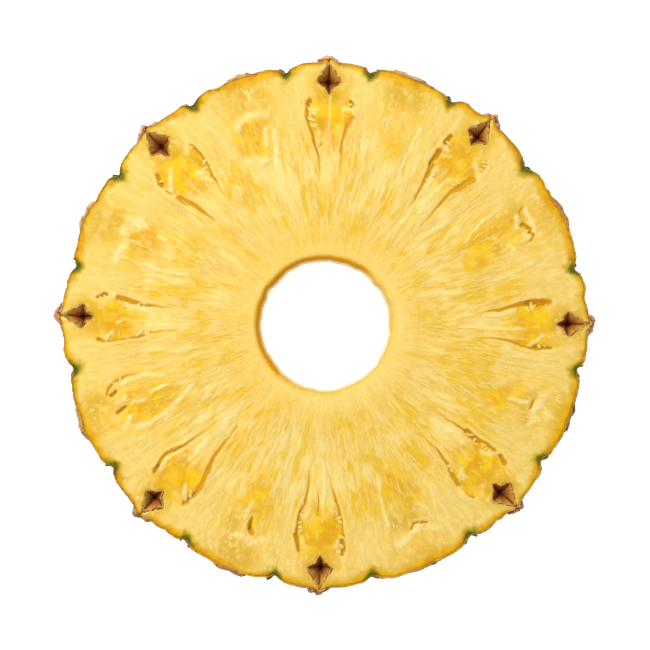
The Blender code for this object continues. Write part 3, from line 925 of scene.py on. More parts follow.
def eye_lining(index, top):
    """The skin in an eye's pit, a thin cup.

    Over a turn and a share s of the way from the middle to the edge, its inner side lies
    EYE_DEPTH * (1 - s^1.15) down. It then folds over the edge in a narrow lip and returns below.
    """
    size = 1.0 + 0.09 * math.sin(index * 2.3 + (0 if top else 1))
    columns = 96
    turn = np.arange(columns) * 2 * math.pi / columns
    turn = turn - CROWDING * np.sin(4 * turn)
    edge = eye_outline(turn) * size * MM
    skew = 0.35 * MM * math.sin(index * 1.7)
    share = np.linspace(0.06, 1.0, 18)[:, None]
    rough = 0.10 * MM * drift(turn / (2 * math.pi) * 34, share * 2.0, 90 + index, 34)
    inner_radius = edge * share
    inner_depth = EYE_DEPTH * (1.0 - share ** 1.15) + rough * (1 - share) * 2
    lip = np.stack([edge + 0.12 * MM, edge + 0.24 * MM, edge + 0.22 * MM])
    lip_depth = np.array([-0.03, 0.0, 0.35])[:, None] * MM + 0 * lip
    under = np.stack([edge * 0.7, edge * 0.1])
    under_depth = np.array([1.9 * MM, EYE_DEPTH + 0.5 * MM])[:, None] + 0 * under
    radius = np.vstack([inner_radius, lip, under])
    depth = np.vstack([inner_depth, lip_depth, under_depth])
    out = EYE_RADIUS + radius * np.cos(turn)
    side = radius * np.sin(turn) + skew * (1 - np.clip(radius / (2.5 * MM), 0, 1))
    up = 1.0 if top else -1.0
    away = np.radians(FRUITLET_ANGLES[index])
    level = highest.z if top else lowest.z
    x = out * math.cos(away) - side * math.sin(away)
    y = out * math.sin(away) + side * math.cos(away)
    z = level - up * depth
    rows = len(radius)
    centre = Vector((math.cos(away), math.sin(away), 0.0)) * EYE_RADIUS
    poles = np.array([[centre.x, centre.y, level - up * (EYE_DEPTH * 0.98)],
                      [centre.x, centre.y, level - up * (EYE_DEPTH + 0.6 * MM)]])
    points = np.vstack([np.stack([x, y, z], axis=-1).reshape(-1, 3), poles])
    quads, caps = capped_faces(rows, columns, top)
    face = "top" if top else "under"
    made = mesh_object(f"eye_lining_{face}_{index:02d}", points, quads, caps)
    full_share = np.vstack([share + 0 * edge, np.ones((3, columns)) * 1.1, np.zeros((2, columns))])
    arms = np.abs(np.cos(2 * (np.arange(columns) * 2 * math.pi / columns))) ** 9
    give_number(made, "share", np.append(full_share.ravel(), [0.0, 0.0]))
    give_number(made, "arm", np.append(np.broadcast_to(arms, radius.shape).ravel(), [1.0, 1.0]))
    outer_side = np.clip(np.cos(turn) * 1.4 + 0.3, 0, 1)
    give_number(made, "outer", np.append(np.broadcast_to(outer_side, radius.shape).ravel(), [0, 0]))
    spokes = np.stack([np.cos(turn) + 0 * radius, np.sin(turn) + 0 * radius,
                       0.25 * radius / MM], axis=-1)
    give_vector(made, "spoke", np.vstack([spokes.reshape(-1, 3), [[0, 0, 0], [0, 0, 0]]]))
    return made


# --------------------------------------------------------------- small pieces on a face's relief

LUMP_SIDES = 6
STRAY_FIBRES = 1100


def column_at(angle, radius):
    """The flesh's column at a place, as a share of a turn.

    A fibre reached angle a at PULP_REACH, so at this radius it is at a - (1 - spread) * bent(a),
    where bent is how far fibre_angles bends it. A few rounds of substitution turn that about.
    """
    left, reached = fibre_angles(FACE_COLUMNS)
    spread = ease(CORE_EDGE, PULP_REACH, radius)
    found = angle.copy()
    for _ in range(12):
        bent = np.interp(found % 360.0, reached, reached - left, period=360.0)
        found = angle + (1.0 - spread) * bent
    return (found % 360.0) / 360.0


def face_level(face_height, share, radius):
    """Height of a face's relief above MIDDLE at a column's share of a turn and a radius."""
    row = np.clip(np.searchsorted(face_rows(), radius), 0, len(face_rows()) - 1)
    column = np.round(share * FACE_COLUMNS).astype(np.int64) % FACE_COLUMNS
    return face_height[row, column]


def closed_tubes(name, points, rings, columns):
    """One mesh of many tubes from (tubes, rings * columns + 2, 3) points, each with its two poles."""
    quads, caps = capped_faces(rings, columns, False)
    step = (np.arange(len(points)) * points.shape[1])[:, None, None]
    return mesh_object(name, points.reshape(-1, 3), (quads + step).reshape(-1, 4),
                       (caps + step).reshape(-1, 3))


def lumps_mesh(name, centre, aside, along, up, profile):
    """Many closed lumps in one mesh, each a tube that swells and closes at both ends.

    centre is (lumps, rings, 3), aside and up (lumps, rings, 3) are its half widths as vectors, and
    profile (rings) is how full it is there: centre + profile * (aside * cos(t) + up * sin(t)).
    along (lumps, 3) says how far its two poles lie beyond the end rings.
    """
    lumps, rings = centre.shape[:2]
    turn = np.arange(LUMP_SIDES) * 2 * math.pi / LUMP_SIDES
    full = profile[None, :, None, None]
    body = centre[:, :, None, :] + full * (aside[:, :, None, :] * np.cos(turn)[:, None]
                                           + up[:, :, None, :] * np.sin(turn)[:, None])
    poles = np.stack([centre[:, 0] - along, centre[:, -1] + along], axis=1)
    return closed_tubes(name, np.concatenate([body.reshape(lumps, -1, 3), poles], axis=1),
                        rings, LUMP_SIDES)


def per_lump(values, rings):
    """A number or a vector for each lump, repeated for all of its vertices."""
    return np.repeat(values, rings * LUMP_SIDES + 2, axis=0)


def stray_fibres(name, face_height, top):
    """Single fibres that stand out of the face: slim spindles that lie along its columns.

    Those that lie in a hollow of the face are sunk below it, out of sight.
    """
    draw = np.random.default_rng(17 if top else 18)
    count = STRAY_FIBRES
    rings = 7
    fibre_share = draw.uniform(0.0, 1.0, count)
    middle = np.sqrt(draw.uniform(19.0 ** 2, 50.0 ** 2, count))
    length = 0.9 + 6.0 * draw.uniform(0.0, 1.0, count) ** 2.5
    width = draw.uniform(0.06, 0.15, count)
    rise = draw.uniform(0.04, 0.07, count)
    t = np.linspace(0.04, 0.96, rings)
    radius = (middle[:, None] + (t - 0.5) * length[:, None]) * MM
    radius = np.clip(radius, 17.5 * MM, 54.0 * MM)
    left, reached = fibre_angles(FACE_COLUMNS)
    start = np.interp(fibre_share * 360.0, reached, left)
    spread = ease(CORE_EDGE, PULP_REACH, radius)
    angle = start[:, None] + (fibre_share[:, None] * 360.0 - start[:, None]) * spread
    angle = angle + (draw.uniform(-0.2, 0.2, count) * length / middle * 57.0)[:, None] * (t - 0.5)
    level = face_level(face_height, np.broadcast_to(fibre_share[:, None], radius.shape), radius)
    sunk = ease(0.12 * MM, 0.2 * MM, THICKNESS / 2 - level.mean(axis=1, keepdims=True))
    level = 0.7 * level + 0.3 * level.mean(axis=1, keepdims=True) - 0.01 * MM - 0.3 * MM * sunk
    turn = np.radians(angle)
    centre = on_circles(radius, angle, MIDDLE + (level if top else -level))
    across = np.stack([-np.sin(turn), np.cos(turn), 0 * turn], axis=-1)
    upward = np.zeros(across.shape)
    upward[..., 2] = 1.0
    ends = (centre[:, -1] - centre[:, 0]) * 0.04
    profile = np.sin(math.pi * t) ** 0.7
    made = lumps_mesh(name, centre, across * (width * MM)[:, None, None], ends,
                      upward * (rise * MM)[:, None, None], profile)
    shown = {"cream": per_lump(draw.uniform(0.3, 1.0, count), rings),
             "stain": np.clip(per_lump(draw.uniform(-1.2, 0.7, count), rings), 0.0, 1.0),
             "fibrous": per_lump(np.full(count, 0.6), rings)}
    for tint in TINTS:
        give_number(made, tint, shown.get(tint, 0 * shown["cream"]))
    flow = flow_vector(np.broadcast_to(start[:, None], radius.shape), radius)
    body = np.repeat(flow[:, :, None, :], LUMP_SIDES, axis=2).reshape(count, -1, 3)
    give_vector(made, "flow", np.concatenate([body, flow[:, :1], flow[:, -1:]], axis=1).reshape(-1, 3))
    return made


def ovule_places(top):
    """Where ovules hang: every millimetre or so along the inner side of slits and pockets.

    Gives each one's x and y in metres, and the x and y of the way that it points.
    """
    draw = np.random.default_rng(27 if top else 28)
    places = []
    for i in range(FRUITLETS):
        for kind, start_width, _, *points in look_of(i, top):
            if kind not in ("slit", "pocket"):
                continue
            path = smooth_path(points, 8)
            runs = np.concatenate([[0.0], np.cumsum(np.hypot(*np.diff(path, axis=0).T))])
            if draw.uniform() < 0.45:
                continue
            for at in np.arange(0.3, runs[-1], 0.9):
                inward = np.interp(at, runs, path[:, 0])
                aside = np.interp(at, runs, path[:, 1])
                if inward < 3.2 or inward > 14.5 or abs(aside) < 2.2 or draw.uniform() < 0.4:
                    continue
                side = -math.copysign(1.0, aside)
                shift = side * (start_width * 0.8 + 0.1)
                places.append((i, inward + draw.normal(0, 0.25), aside + shift + draw.normal(0, 0.3),
                               0.3 + draw.normal(0, 0.5), side))
    index, inward, aside, lean, side = np.array(places).T
    out = EYE_RADIUS / MM - inward
    away = np.radians(FRUITLET_ANGLES[index.astype(int)])
    x = out * np.cos(away) - aside * np.sin(away)
    y = out * np.sin(away) + aside * np.cos(away)
    dx = -lean * np.cos(away) - side * np.sin(away)
    dy = -lean * np.sin(away) + side * np.cos(away)
    size = np.hypot(dx, dy)
    return x * MM, y * MM, dx / size, dy / size


def ovules(name, face_height, top):
    """Pale unripe seeds in rows beside the slits: short blunt fingers that point off them."""
    draw = np.random.default_rng(37 if top else 38)
    x, y, dx, dy = ovule_places(top)
    count = len(x)
    rings = 5
    length = draw.uniform(0.9, 2.2, count) * MM
    width = draw.uniform(0.2, 0.42, count) * MM
    radius = np.hypot(x, y)
    level = face_level(face_height, column_at(np.degrees(np.arctan2(y, x)), radius), radius)
    level = np.maximum(level, THICKNESS / 2 - 0.35 * MM) + 0.03 * MM
    t = np.linspace(0.08, 0.92, rings)
    flip = 1.0 if top else -1.0
    forward = np.stack([dx, dy, 0 * dx], axis=-1)
    start = np.stack([x, y, MIDDLE + flip * level], axis=-1)
    drop = np.zeros((count, rings, 3))
    drop[..., 2] = -flip * 0.12 * MM * (2 * t - 1) ** 2
    centre = start[:, None, :] + forward[:, None, :] * ((t - 0.3) * length[:, None])[..., None] + drop
    across = np.stack([-dy, dx, 0 * dx], axis=-1)[:, None, :] * width[:, None, None]
    across = np.broadcast_to(across, centre.shape)
    upward = np.zeros(centre.shape)
    upward[..., 2] = (draw.uniform(0.07, 0.14, count) * MM)[:, None]
    profile = np.sqrt(1 - (2 * t - 1) ** 2)
    made = lumps_mesh(name, centre, across, forward * (0.06 * length)[:, None], upward, profile)
    tone = per_lump(draw.uniform(0.0, 0.8, count), rings)
    for tint in TINTS:
        give_number(made, tint, tone if tint == "cream" else 0 * tone)
    give_vector(made, "flow", per_lump(np.stack([x, y, radius], axis=-1), rings))
    return made


# ------------------------------------------------------------------------------- the dry scales

SCALE_ROWS = 14
SCALE_COLUMNS = 12


def dry_scales(name, marks, seed):
    """Dry papery scales in one mesh, each curved to the rind with its tip lifted off it.

    marks are (angle, aside in mm, foot level, tip level, half width in mm, lift in mm, cut). Along
    a scale, t from 0 to 1, its half width is w * (1 - t^3) and it stands 0.02 + lift * t^2 off.
    Where cut is 1 the scale doesn't close to a tip: the cut face shows how thick it is. Its along is
    t, less on the side of the slice that is turned from 115 degrees, near the lamp's side: painted
    shade that makes the scales there darker.
    """
    marks = np.array(marks, float)
    count = len(marks)
    middle, aside, foot, tip, half, lift, cut = (marks[:, k][:, None, None] for k in range(7))
    t = np.linspace(0.03, 0.97, SCALE_ROWS)[None, :, None]
    turn = (np.arange(SCALE_COLUMNS) * 2 * math.pi / SCALE_COLUMNS)[None, None, :]
    number = np.arange(count)[:, None, None]
    closing = t * (1.0 - 0.6 * cut)
    width = half * (1.0 - closing ** 3) * (1.0 + 0.3 * drift(t * 5 + number * 9.7, turn, seed))
    over = width * np.cos(turn) * np.sqrt(np.clip(np.sin(math.pi * (0.12 + 0.88 * closing)), 0.05, 1))
    level = foot + (tip - foot) * t + 0.05 * drift(over * 0.9 + number * 5.1, t * 2, seed + 3)
    level = np.clip(level, 0.01, 1.0 + 0.012 * drift(over * 1.7, t * 3 + number * 2.3, seed + 4))
    angle = middle + np.degrees((aside + over) / (RIND_RADIUS / MM))
    flat = np.broadcast_to(angle, (count, SCALE_ROWS, SCALE_COLUMNS))
    on_rind = rind_radius(flat % 360.0, np.clip(np.broadcast_to(level, flat.shape), 0.0, 1.0))
    curl = 0.35 * drift(over * 1.1 + number * 3.3, t * 3, seed + 5)
    stand = 0.02 + lift * t ** 2 + curl * t - (0.12 + 0.2 * cut) * (over / half) ** 2
    thick = (0.16 * (1.0 - 0.55 * t) + 0.34 * cut * t) * np.sin(turn)
    thick = thick * (1.0 + 0.5 * drift(over * 1.3 + number * 7.7, turn, seed + 6))
    radius = on_rind + (stand + thick) * MM
    body = on_circles(radius, flat, lowest.z + np.broadcast_to(level, flat.shape) * THICKNESS)
    ends = np.stack([body[:, 0].mean(axis=1), body[:, -1].mean(axis=1)], axis=1)
    ends[:, 1, 2] += 0.04 * MM
    points = np.concatenate([body.reshape(count, -1, 3), ends], axis=1)
    made = closed_tubes(name, points, SCALE_ROWS, SCALE_COLUMNS)
    # painted light and shade: scales towards 115 degrees, the lamp's side, keep their pale tips, and
    # those turned away are darker
    lamp_side_light = 0.55 + 0.45 * np.cos(np.radians(middle - 115.0))
    along = (lamp_side_light * np.broadcast_to(t, flat.shape)).reshape(count, -1)
    give_number(made, "along", np.concatenate([along, 0 * lamp_side_light[:, 0], lamp_side_light[:, 0]], axis=1))
    return made


def bract_marks():
    """Three cut scales over each fruitlet whose eye is whole above, and a low one on the others."""
    draw = np.random.default_rng(57)
    marks = []
    for i in range(1, FRUITLETS, 2):
        for lean in (-1.8, 0.0, 1.9):
            marks.append((FRUITLET_ANGLES[i], lean + draw.normal(0, 0.4), 0.30 + draw.uniform(0, 0.1),
                          draw.uniform(0.99, 1.02), draw.uniform(2.0, 3.2), draw.uniform(-0.2, 0.4), 1))
    for i in range(0, FRUITLETS, 2):
        marks.append((FRUITLET_ANGLES[i], draw.normal(0, 0.4), 0.02, 0.55, 2.8, 0.7, 0))
    return marks


def flake_marks():
    """Three small dry flakes where the crease of each eye reaches the rind."""
    draw = np.random.default_rng(58)
    marks = []
    for i in range(0, FRUITLETS, 2):
        for aside in (-1.5, -0.2, 1.3):
            marks.append((FRUITLET_ANGLES[i], aside + draw.normal(0, 0.25), 0.62,
                          draw.uniform(0.97, 1.02), draw.uniform(0.9, 1.6), draw.uniform(0.1, 0.5), 1))
    return marks


def border_marks():
    """Small green-brown points beside the grooves, where neighbouring fruitlets meet."""
    draw = np.random.default_rng(59)
    marks = []
    for i in range(FRUITLETS):
        border = FRUITLET_ANGLES[i] + GAPS[i] / 2
        for aside in (-1.1, 0.9):
            marks.append((border, aside + draw.normal(0, 0.3), 0.7, draw.uniform(0.92, 1.0),
                          draw.uniform(0.5, 1.0), draw.uniform(0.15, 0.5), 0))
    return marks


# ----------------------------------------------------------------------------------- materials

def linear(red, green, blue):
    """A screen colour, from 0 to 255, as the linear colour that a shader takes."""
    values = [c / 255.0 for c in (red, green, blue)]
    return tuple(v / 12.92 if v <= 0.04045 else ((v + 0.055) / 1.055) ** 2.4 for v in values) + (1.0,)


class Nodes:
    """Adds nodes to a tree and links them. Most methods give the socket that their node puts out."""

    def __init__(self, tree):
        self.tree = tree

    def add(self, kind, **settings):
        """A new node of a kind, with its properties set by name. Gives the node itself."""
        node = self.tree.nodes.new(kind)
        for key, value in settings.items():
            setattr(node, key, value)
        return node

    def link(self, source, target):
        """Joins an output socket to an input socket."""
        self.tree.links.new(source, target)

    def feed(self, sockets, values):
        """Sets each socket to its value, or links it where the value is a socket too."""
        for socket, value in zip(sockets, values):
            if isinstance(value, (int, float, tuple)):
                socket.default_value = value
            else:
                self.link(value, socket)

    def attribute(self, name, output="Fac"):
        """What give_number or give_vector has stored on the piece by that name."""
        return self.add("ShaderNodeAttribute", attribute_name=name).outputs[output]

    def place(self):
        """Object coordinates."""
        return self.add("ShaderNodeTexCoord").outputs["Object"]

    def math(self, operation, *values, clamp=False):
        """One sum on numbers or sockets, kept from 0 to 1 where clamp is true."""
        node = self.add("ShaderNodeMath", operation=operation, use_clamp=clamp)
        self.feed(node.inputs, values)
        return node.outputs[0]

    def line(self, value, times, plus, clamp=False):
        """value * times + plus."""
        return self.math("MULTIPLY_ADD", value, times, plus, clamp=clamp)

    def mix(self, amount, first, second):
        """A colour that goes from the first to the second as the amount goes from 0 to 1."""
        node = self.add("ShaderNodeMix", data_type="RGBA")
        self.feed((node.inputs[0], node.inputs[6], node.inputs[7]), (amount, first, second))
        return node.outputs[2]

    def over(self, colour, amount, strength, screen):
        """The colour with a screen colour laid over it, by an amount times a strength."""
        return self.mix(self.math("MULTIPLY", amount, strength), colour, linear(*screen))

    def ramp(self, value, low, high):
        """0 below low, 1 above high, and smooth between them."""
        node = self.add("ShaderNodeMapRange", interpolation_type="SMOOTHSTEP")
        self.feed((node.inputs["Value"], node.inputs["From Min"], node.inputs["From Max"]),
                  (value, low, high))
        return node.outputs["Result"]

    def noise(self, vector, scale, detail, roughness):
        """Soft random values round 0.5, which change over 1 / scale."""
        node = self.add("ShaderNodeTexNoise")
        labels = ("Vector", "Scale", "Detail", "Roughness")
        self.feed([node.inputs[label] for label in labels], (vector, scale, detail, roughness))
        return node.outputs["Fac"]


def new_group(name, inputs, outputs):
    """A shader node group and its two end nodes. Its outputs are floats, bar one named Colour."""
    group = bpy.data.node_groups.new(name, "ShaderNodeTree")
    for label, kind, value in inputs:
        socket = group.interface.new_socket(name=label, in_out="INPUT", socket_type=kind)
        if value is not None:
            socket.default_value = value
    for label in outputs:
        kind = "NodeSocketColor" if label == "Colour" else "NodeSocketFloat"
        group.interface.new_socket(name=label, in_out="OUTPUT", socket_type=kind)
    nodes = Nodes(group)
    return group, nodes, nodes.add("NodeGroupInput"), nodes.add("NodeGroupOutput")


def strand_group():
    """Fine threads along a flow: noise that is short across the flow and long along it."""
    group, nodes, given, result = new_group(
        "threads",
        [("Flow", "NodeSocketVector", None), ("Across", "NodeSocketFloat", 3000.0),
         ("Along", "NodeSocketFloat", 250.0)],
        ["Thread", "Fine"])
    split = nodes.add("ShaderNodeSeparateXYZ")
    nodes.link(given.outputs["Flow"], split.inputs[0])
    joined = nodes.add("ShaderNodeCombineXYZ")
    for k, scale in enumerate(("Across", "Across", "Along")):
        nodes.link(nodes.math("MULTIPLY", split.outputs[k], given.outputs[scale]), joined.inputs[k])
    nodes.link(nodes.noise(joined.outputs[0], 1.0, 3.0, 0.55), result.inputs["Thread"])
    nodes.link(nodes.noise(joined.outputs[0], 2.3, 2.0, 0.6), result.inputs["Fine"])
    return group


def mottle_group():
    """Uneven patches at two sizes, and small pits, from Object coordinates."""
    group, nodes, given, result = new_group(
        "mottling",
        [("Place", "NodeSocketVector", None), ("Size", "NodeSocketFloat", 400.0)],
        ["Patch", "Speck"])
    scaled = nodes.add("ShaderNodeVectorMath", operation="SCALE")
    nodes.link(given.outputs["Place"], scaled.inputs[0])
    nodes.link(given.outputs["Size"], scaled.inputs["Scale"])
    nodes.link(nodes.noise(scaled.outputs[0], 1.0, 3.0, 0.55), result.inputs["Patch"])
    nodes.link(nodes.noise(scaled.outputs[0], 5.0, 2.0, 0.6), result.inputs["Speck"])
    return group


THREADS = strand_group()
MOTTLING = mottle_group()


def use_group(nodes, group, **values):
    """Places a group in a tree with its own values, and gives its outputs."""
    node = nodes.add("ShaderNodeGroup")
    node.node_tree = group
    nodes.feed([node.inputs[label] for label in values], values.values())
    return node.outputs


def new_material(name, **sockets):
    """A material with one Principled BSDF, whose sockets are set by name, with _ for a space."""
    material = bpy.data.materials.new(name)
    material.use_nodes = True
    nodes = Nodes(material.node_tree)
    shader = material.node_tree.nodes["Principled BSDF"]
    for label, value in sockets.items():
        shader.inputs[label.replace("_", " ")].default_value = value
    return material, nodes, shader


def dress(nodes, shader, colour, rough, height, strength, distance):
    """Links a colour and a roughness to a shader, and a height by way of a bump."""
    bump = nodes.add("ShaderNodeBump")
    nodes.feed((bump.inputs["Strength"], bump.inputs["Distance"], bump.inputs["Height"]),
               (strength, distance, height))
    nodes.link(bump.outputs["Normal"], shader.inputs["Normal"])
    nodes.feed((shader.inputs["Base Color"], shader.inputs["Roughness"]), (colour, rough))


def flesh_colour_group():
    """Raw flesh: cream threads on yellow, golden pulp, amber slits, and an orange and green rim, with
    painted glints and the painted shade and light that the tints carry.
    """
    group, nodes, _, result = new_group("flesh_colour", [], ["Colour", "Roughness", "Lift"])
    flow = nodes.attribute("flow", "Vector")
    place = nodes.place()
    tint = {name: nodes.attribute(name) for name in TINTS}
    threads = use_group(nodes, THREADS, Flow=flow, Across=2400.0, Along=300.0)
    wide = use_group(nodes, THREADS, Flow=flow, Across=560.0, Along=300.0)["Thread"]
    streaks = use_group(nodes, THREADS, Flow=flow, Across=900.0, Along=330.0)["Thread"]
    across = use_group(nodes, THREADS, Flow=flow, Across=1700.0, Along=560.0)["Thread"]
    patches = use_group(nodes, MOTTLING, Place=place, Size=330.0)
    grain = use_group(nodes, MOTTLING, Place=place, Size=1400.0)
    thread = nodes.ramp(threads["Thread"], 0.42, 0.61)
    patch = nodes.ramp(patches["Patch"], 0.4, 0.66)

    # plain flesh, then stained flesh with painted shade in hollows, pulp, and the olive flesh round an
    # eye with the painted shade of hollows and of the hole's wall
    colour = nodes.mix(nodes.math("MULTIPLY", thread, tint["fibrous"]),
                       linear(243, 204, 92), linear(249, 218, 134))
    colour = nodes.over(colour, patch, 0.22, (245, 199, 52))
    colour = nodes.over(colour, tint["pale"], 0.8, (240, 212, 122))
    uneven = nodes.line(thread, 0.3, nodes.line(nodes.ramp(wide, 0.3, 0.56), 0.4, 0.3))
    colour = nodes.over(colour, nodes.ramp(tint["stain"], 0.12, 0.75), uneven, (238, 193, 6))
    pulp = nodes.mix(nodes.ramp(wide, 0.36, 0.64), linear(229, 171, 0), linear(247, 206, 4))
    golden = nodes.math("MULTIPLY", tint["gold"], nodes.line(patch, 0.15, 0.85), clamp=True)
    colour = nodes.mix(golden, colour, pulp)
    colour = nodes.over(colour, tint["olive_and_shade"], 0.75, (216, 172, 24))

    # streaks along the flow, darker and paler, painted glints along the flow and in specks, and cream
    # that also carries painted highlights
    plain = nodes.math("SUBTRACT", 1.0, nodes.math("MAXIMUM", tint["fibrous"], tint["gold"]), clamp=True)
    dusk = nodes.math("MULTIPLY", nodes.ramp(streaks, 0.47, 0.32), plain)
    colour = nodes.over(colour, dusk, 0.45, (224, 184, 66))
    glow = nodes.math("MULTIPLY", nodes.ramp(streaks, 0.53, 0.66), plain)
    colour = nodes.over(colour, glow, 0.6, (254, 228, 150))
    # painted glints: short pale streaks along the flow
    glint_streaks = nodes.ramp(across, 0.61, 0.67)
    colour = nodes.over(colour, glint_streaks, nodes.line(tint["gold"], -0.4, 0.7), (255, 232, 158))
    colour = nodes.over(colour, nodes.ramp(across, 0.38, 0.33), 0.3, (234, 188, 50))
    cream = nodes.math("MULTIPLY", tint["cream"], nodes.line(thread, 0.35, 0.65), clamp=True)
    colour = nodes.mix(cream, colour, linear(253, 226, 148))
    curds = nodes.line(nodes.ramp(grain["Patch"], 0.35, 0.6), 0.4, 0.6)
    white = nodes.math("MULTIPLY", tint["white"], curds, clamp=True)
    colour = nodes.mix(white, colour, linear(252, 233, 168))
    # painted glints: pale specks, fewer on the pulp
    glint_specks = nodes.ramp(grain["Speck"], 0.56, 0.64)
    colour = nodes.over(colour, glint_specks, nodes.line(tint["gold"], -0.3, 0.4), (254, 228, 152))

    # the rim, the green by the grooves, the slits' amber, which also paints shade in deep places and on
    # the hole's dark side, and the side of the hole that faces the lamp, painted duller
    colour = nodes.over(colour, nodes.ramp(tint["green"], 0.0, 0.5), 0.85, (208, 180, 50))
    rim = nodes.mix(patch, linear(238, 186, 8), linear(222, 160, 0))
    colour = nodes.mix(nodes.ramp(tint["rim"], 0.1, 0.95), colour, rim)
    colour = nodes.over(colour, nodes.ramp(tint["rim"], 0.9, 1.0), 0.6, (222, 142, 6))
    colour = nodes.over(colour, nodes.ramp(tint["green"], 0.35, 0.9),
                        nodes.ramp(patches["Speck"], 0.1, 0.5), (98, 110, 12))
    colour = nodes.over(colour, tint["deep"], 0.6, (236, 178, 2))
    colour = nodes.over(colour, nodes.ramp(tint["deep"], 0.36, 0.75), 0.85, (214, 152, 4))
    # painted shade that dulls the hole's wall where it faces the lamp
    colour = nodes.mix(tint["dull"], colour, linear(198, 178, 104))

    nodes.link(colour, result.inputs["Colour"])
    nodes.link(nodes.line(patches["Speck"], 0.4, 0.1), result.inputs["Roughness"])
    lift = nodes.math("MULTIPLY", nodes.line(threads["Fine"], 0.6, threads["Thread"]), tint["fibrous"])
    lift = nodes.line(grain["Patch"], nodes.line(tint["gold"], -0.7, 0.8), lift)
    nodes.link(lift, result.inputs["Lift"])
    return group


FLESH_COLOUR = flesh_colour_group()
FINE_BUMP = (0.6, 0.2 * MM)
COARSE_BUMP = (0.7, 0.3 * MM)


def flesh_material(name, softness):
    """Wet raw flesh that light gets into by softness: nothing for pieces too thin to hold it."""
    material, nodes, shader = new_material(
        name, Subsurface_Weight=softness, Subsurface_Scale=1.3 * MM, Subsurface_Anisotropy=0.3,
        Subsurface_Radius=(1.0, 0.75, 0.3), Specular_IOR_Level=0.12)
    flesh = use_group(nodes, FLESH_COLOUR)
    dress(nodes, shader, flesh["Colour"], flesh["Roughness"], flesh["Lift"], *FINE_BUMP)
    return material


def eye_material():
    """An eye's lining: dry brown skin with spokes, darkest in its creases, with a pale cut edge."""
    material, nodes, shader = new_material("eye_skin", Specular_IOR_Level=0.06)
    spoke = nodes.attribute("spoke", "Vector")
    threads = use_group(nodes, THREADS, Flow=spoke, Across=9.0, Along=2.0)
    patches = use_group(nodes, MOTTLING, Place=nodes.place(), Size=900.0)
    share = nodes.attribute("share")
    outer = nodes.attribute("outer")
    far = nodes.mix(outer, linear(164, 84, 14), linear(218, 156, 58))
    near = nodes.mix(outer, linear(112, 42, 6), linear(150, 74, 10))
    wall = nodes.mix(nodes.ramp(share, 0.35, 0.95), near, far)
    wall = nodes.over(wall, nodes.ramp(threads["Thread"], 0.35, 0.7), 0.6, (108, 40, 8))
    wall = nodes.over(wall, nodes.ramp(patches["Speck"], 0.5, 0.62), 0.35, (226, 168, 100))
    crease = nodes.math("MULTIPLY", nodes.attribute("arm"), nodes.ramp(share, 1.02, 0.8))
    dark = nodes.math("MAXIMUM", nodes.ramp(share, 0.5, 0.12), crease)
    wall = nodes.over(wall, dark, 0.95, (72, 22, 4))
    lip = nodes.mix(nodes.ramp(patches["Patch"], 0.4, 0.6), linear(226, 178, 100), linear(150, 84, 34))
    colour = nodes.mix(nodes.ramp(share, 0.95, 1.03), wall, lip)
    dress(nodes, shader, colour, nodes.line(patches["Speck"], 0.35, 0.4),
          nodes.math("ADD", threads["Thread"], patches["Speck"]), *FINE_BUMP)
    return material


def rind_material():
    """Rind: orange-yellow skin, green in the grooves, brown and dry towards the tips."""
    material, nodes, shader = new_material(
        "rind_skin", Subsurface_Weight=0.1, Subsurface_Scale=1.0 * MM, Specular_IOR_Level=0.25)
    place = nodes.place()
    broad = use_group(nodes, MOTTLING, Place=place, Size=110.0)
    patches = use_group(nodes, MOTTLING, Place=place, Size=380.0)
    fine = use_group(nodes, MOTTLING, Place=place, Size=1300.0)
    patch = nodes.ramp(patches["Patch"], 0.36, 0.64)
    colour = nodes.mix(patch, linear(210, 140, 18), linear(224, 172, 44))
    colour = nodes.over(colour, nodes.ramp(broad["Patch"], 0.46, 0.6), 0.8, (158, 142, 36))
    colour = nodes.over(colour, nodes.ramp(fine["Patch"], 0.5, 0.6), 0.75, (142, 84, 32))
    colour = nodes.over(colour, nodes.ramp(fine["Speck"], 0.52, 0.64), 0.45, (232, 190, 130))
    dark = nodes.math("ADD", 0.35, patches["Patch"])
    dark = nodes.math("MULTIPLY", nodes.attribute("groove"), dark, clamp=True)
    colour = nodes.mix(dark, colour, linear(84, 84, 28))
    dry = nodes.math("ADD", 0.55, patches["Speck"])
    dry = nodes.math("MULTIPLY", nodes.attribute("tip"), dry, clamp=True)
    bark = nodes.mix(nodes.ramp(fine["Patch"], 0.42, 0.58), linear(120, 70, 36), linear(214, 162, 118))
    colour = nodes.mix(dry, colour, bark)
    dress(nodes, shader, colour, nodes.line(fine["Speck"], 0.3, 0.42),
          nodes.math("ADD", fine["Patch"], patches["Speck"]), *COARSE_BUMP)
    return material


def scale_material(name, foot, tip):
    """A dry scale, from the colour of its foot to that of its tip, with dark and pale patches, and
    painted shade on the side turned from the lamp.
    """
    material, nodes, shader = new_material(name, Specular_IOR_Level=0.2)
    patches = use_group(nodes, MOTTLING, Place=nodes.place(), Size=700.0)
    amount = nodes.line(nodes.attribute("along"), 0.7,
                        nodes.math("SUBTRACT", patches["Patch"], 0.35), clamp=True)
    colour = nodes.mix(amount, foot, tip)
    colour = nodes.over(colour, nodes.ramp(patches["Patch"], 0.52, 0.62), 0.7, (112, 62, 34))
    colour = nodes.over(colour, nodes.ramp(patches["Speck"], 0.5, 0.62), 0.6, (230, 188, 146))
    dress(nodes, shader, colour, 0.7, nodes.math("ADD", patches["Patch"], patches["Speck"]), *FINE_BUMP)
    return material


